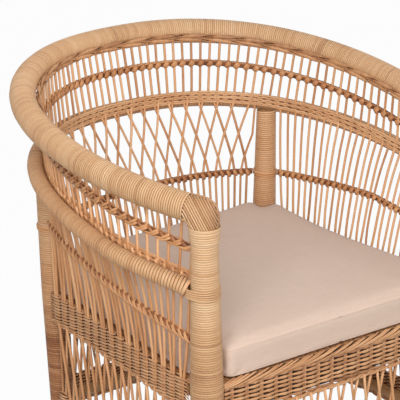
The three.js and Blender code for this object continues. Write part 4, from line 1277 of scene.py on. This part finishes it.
REAR_PRESS = 1.5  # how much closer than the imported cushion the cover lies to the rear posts


def cushion_outline(inset):
    """Half outline of the cushion from the middle of its front, then its mirror image."""
    front_notch = front_right.radius(SEAT_HEIGHT) + CUSHION_FRONT_CLEARANCE
    rear_notch = rear_right.radius(SEAT_HEIGHT) + CUSHION_REAR_CLEARANCE - REAR_PRESS
    front_edge, back_edge = FRONT_Y - CUSHION_FRONT_OVERHANG, REAR_Y + CUSHION_BACK_OVERHANG
    front_back, rear_front = FRONT_Y + front_notch, REAR_Y - rear_notch
    middle = (front_back + rear_front) / 2

    def side_at(y):
        return between(front_right.x, rear_right.x, (y - FRONT_Y) / POST_DEPTH) + CUSHION_SIDE_OVERHANG

    corners = np.array([
        [0, front_edge],
        [front_right.x - front_notch, front_edge],
        [front_right.x - front_notch, front_back],
        [side_at(front_back), front_back],
        [side_at(middle) - CUSHION_DRAW_IN, middle],
        [side_at(rear_front), rear_front],
        [rear_right.x - rear_notch, rear_front],
        [rear_right.x - rear_notch, back_edge],
        [0, back_edge - CUSHION_DRAW_IN],
    ])
    edge = [corners[0]]
    for before, corner, after in zip(corners, corners[1:], corners[2:]):
        cuts = []
        for other in (before, after):
            gap = np.linalg.norm(other - corner)
            cuts.append(corner + (other - corner) * min(CUSHION_CORNER / gap, 0.5))
        t = np.linspace(0, 1, 9)[:, None]
        edge.extend((1 - t) ** 2 * cuts[0] + 2 * t * (1 - t) * corner + t ** 2 * cuts[1])
    edge.append(corners[-1])
    right = Line(np.column_stack([np.array(edge), np.zeros(len(edge))])).at(np.linspace(0, 1, 121))[:, :2]
    outline = np.concatenate([right, right[-2:0:-1] * (-1, 1)])
    return outline * (1 - inset / np.linalg.norm(outline, axis=1))[:, None]


def cushion_pad():
    outline = cushion_outline(START_INSET)
    reach = np.linalg.norm(outline, axis=1)[:, None]
    floor = SEAT_HEIGHT + FIT
    rings = []
    for inset, side, crown in CUSHION_SECTION:
        ring = outline * (1 - inset / reach)
        z = floor + side * CUSHION_THICKNESS + crown * CUSHION_CROWN * START_CROWN
        rear = np.clip((ring[:, 1] - REAR_Y + REAR_RAMP) / REAR_RAMP, 0, 1)
        corner = np.hypot(np.abs(ring[:, 0]) - rear_right.x, ring[:, 1] - REAR_Y) / CORNER_REACH
        plumper = REAR_LIFT * rear + CORNER_LIFT * np.exp(-corner ** 2)
        rings.append(np.column_stack([ring, z + side * plumper]))
    count = len(outline)
    places = np.concatenate([*rings, rings[0].mean(0)[None], rings[-1].mean(0)[None]])
    faces = []
    for row in range(len(rings) - 1):
        for i in range(count):
            j = (i + 1) % count
            faces.append((row * count + i, row * count + j, (row + 1) * count + j, (row + 1) * count + i))
    top = (len(rings) - 1) * count
    for i in range(count):
        j = (i + 1) % count
        faces.append((len(places) - 2, j, i))
        faces.append((len(places) - 1, top + i, top + j))
    mesh = bpy.data.meshes.new("cushion_pad")
    mesh.from_pydata(((places - (0, MIDDLE_Y, 0)) * MM).tolist(), [], faces)
    return placed("cushion_pad", mesh)


def set_mesh(piece, mesh):
    old = piece.data
    piece.modifiers.clear()
    piece.data = mesh
    bpy.data.meshes.remove(old)


def evaluated(piece):
    graph = bpy.context.evaluated_depsgraph_get()
    return bpy.data.meshes.new_from_object(piece.evaluated_get(graph))


def points_of(mesh):
    places = np.empty(len(mesh.vertices) * 3)
    mesh.vertices.foreach_get("co", places)
    return places.reshape(-1, 3)


def fill_cushion(pad):
    """Blows the sewn cover up a little, as its foam does, with its underside held flat on the seat."""
    scene = bpy.context.scene
    remesh = pad.modifiers.new("even", "REMESH")
    remesh.mode, remesh.voxel_size = "VOXEL", FILL_VOXEL
    set_mesh(pad, evaluated(pad))
    before = points_of(pad.data)
    floor = (SEAT_HEIGHT + FIT) * MM
    held = pad.vertex_groups.new(name="rest")
    held.add([int(i) for i in np.flatnonzero(before[:, 2] < floor + FILL_HELD)], 1.0, "REPLACE")
    cloth = pad.modifiers.new("cover", "CLOTH")
    cloth.settings.use_pressure = True
    cloth.settings.uniform_pressure_force = FILL_PRESSURE
    cloth.settings.vertex_group_mass = "rest"
    cloth.settings.effector_weights.gravity = 0.0
    cloth.point_cache.frame_start, cloth.point_cache.frame_end = 1, FILL_FRAMES
    for step in range(1, FILL_FRAMES + 1):
        scene.frame_set(step)
    swollen = evaluated(pad)
    move = points_of(swollen) - before
    far = np.linalg.norm(move, axis=1, keepdims=True)
    after = before + move * np.minimum(1, SWELL_CAP * MM / np.maximum(far, 1e-9))
    after[:, 2] = np.maximum(after[:, 2], floor)
    swollen.vertices.foreach_set("co", after.ravel())
    set_mesh(pad, swollen)
    pad.vertex_groups.clear()
    scene.frame_set(1)


pad = cushion_pad()
fill_cushion(pad)
pad.data.polygons.foreach_set("use_smooth", np.ones(len(pad.data.polygons), bool))
pad.data.materials.clear()
pad.data.materials.append(linen)
finer = pad.modifiers.new("finer", "SUBSURF")
finer.levels = finer.render_levels = 1
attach(pad, "cushion")
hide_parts("cushion_cover", "cushion_foam")

cover = BVHTree.FromObject(pad, bpy.context.evaluated_depsgraph_get())


def on_cover(points, lift):
    """Points brought on to the cushion's cover, in millimetres of the seat plan, with the cover's normals."""
    found, normals = [], []
    for point in (np.asarray(points) - (0, MIDDLE_Y, 0)) * MM:
        place, normal, _, _ = cover.find_nearest(Vector(point))
        found.append(np.array(place) / MM + (0, MIDDLE_Y, 0) + np.array(normal) * lift)
        normals.append(np.array(normal))
    return np.array(found), np.array(normals)


seams = Canes()
for height, inset in ((CUSHION_THICKNESS - 1.5, 2.5), (2.5, 3.0)):
    outline = cushion_outline(inset)
    loop = np.column_stack([outline, np.full(len(outline), SEAT_HEIGHT + FIT + height)])
    path, normals = on_cover(loop, 0.1)
    path = np.concatenate([path, path[:2]])
    normals = np.concatenate([normals, normals[:2]])
    seams.sweep(path, ellipse(1.5, 1.5, 6), normals, 0.2)
seams.piece("cushion_seam", linen, "cloth", (), "cushion")

ZIP_POINTS, TOOTH_TONE = 61, 0.4
zipper = Canes()
span = np.linspace(-ZIP_LENGTH / 2, ZIP_LENGTH / 2, ZIP_POINTS)
level = SEAT_HEIGHT + CUSHION_THICKNESS / 2
behind = np.full(ZIP_POINTS, REAR_Y + CUSHION_BACK_OVERHANG)
path, normals = on_cover(np.column_stack([span, behind, np.full(ZIP_POINTS, level)]), 0.2)
zipper.sweep(path, ellipse(ZIP_HEIGHT, 1.2), normals, 0.5)
for index in range(1, ZIP_POINTS - 1):
    for way in (-1, 1):
        tooth = path[index] + normals[index] * 0.8 + UP * way * 1.1
        ends = [tooth - (1.1, 0, 0), tooth + (1.1, 0, 0)]
        zipper.sweep(ends, ellipse(2.4, 1.4, 6), normals[index], TOOTH_TONE)
away = normals[3]
slider = path[3] + away * 1.6
zipper.sweep([slider - (4, 0, 0), slider + (4, 0, 0)], ellipse(5.5, 2.2), away, TOOTH_TONE)
pull = [slider, slider + away * 1.5 - UP * 4, slider + away * 1.8 - UP * 16]
zipper.sweep(pull, ellipse(4.5, 1.2), away, TOOTH_TONE)
zipper.piece("cushion_zipper", tape_look, "zip", ["cushion_zip"], "cushion")


# Floor, world, lights and camera

def white_where_seen(paint, lit, seen):
    """White to the camera and in reflections, and lit as usual otherwise."""
    rays = ("Is Camera Ray", "Is Glossy Ray", "Is Transmission Ray")
    path = [paint.node("ShaderNodeLightPath", None, None, name) for name in rays]
    share = paint.node("ShaderNodeMath", {"operation": "MINIMUM"}, {0: path[0] + path[1] + path[2], 1: 1.0})
    white = paint.node("ShaderNodeEmission", None, {"Color": (1, 1, 1, 1), "Strength": 1.0})
    return paint.node("ShaderNodeMixShader", None, {0: share * seen, 1: lit, 2: white})


FLOOR_REACH = 6.0
floor_corners = [(x * FLOOR_REACH, y * FLOOR_REACH, 0) for x, y in ((-1, -1), (1, -1), (1, 1), (-1, 1))]
floor_mesh = bpy.data.meshes.new("floor")
floor_mesh.from_pydata(floor_corners, [], [(0, 1, 2, 3)])
floor = placed("floor", floor_mesh)
floor_look, floor_paint = material("pale_floor")
pale = floor_paint.node("ShaderNodeBsdfDiffuse", None, {"Color": (0.25, 0.25, 0.25, 1)})
floor_paint.node("ShaderNodeOutputMaterial", None, {"Surface": white_where_seen(floor_paint, pale, 0.97)})
floor_mesh.materials.append(floor_look)

world = bpy.data.worlds.new("studio")
world.use_nodes = True
bpy.context.scene.world = world
sky = Paint(world.node_tree)
soft = sky.node("ShaderNodeBackground", None, {"Color": (1, 1, 1, 1), "Strength": 0.46})
sky.node("ShaderNodeOutputWorld", None, {"Surface": white_where_seen(sky, soft, 1.0)})


def softbox(name, place, aim, size, power):
    lamp = bpy.data.lights.new(name, "AREA")
    lamp.shape, lamp.size, lamp.energy = "DISK", size, power
    made = placed(name, lamp)
    made.location = place
    made.rotation_euler = (Vector(aim) - Vector(place)).to_track_quat("-Z", "Y").to_euler()


middle = (0.0, 0.0, 0.5)
softbox("key", (-1.7, -2.0, 1.8), middle, 1.8, 70)
softbox("fill", (1.8, -2.2, 1.4), middle, 2.0, 14)
softbox("top", (0.2, 0.3, 2.6), middle, 1.6, 5)

bpy.context.scene.view_settings.view_transform = "Standard"
lens = bpy.data.cameras.new("camera")
lens.sensor_width, lens.lens = 36.0, 180.0
lens.clip_end = 50.0
camera = placed("camera", lens)
camera.location = (-2.0195, -2.6321, 1.7749)
camera.rotation_euler = (math.radians(90 - 20.09), 0.0, math.radians(-36.91))
bpy.context.scene.camera = camera
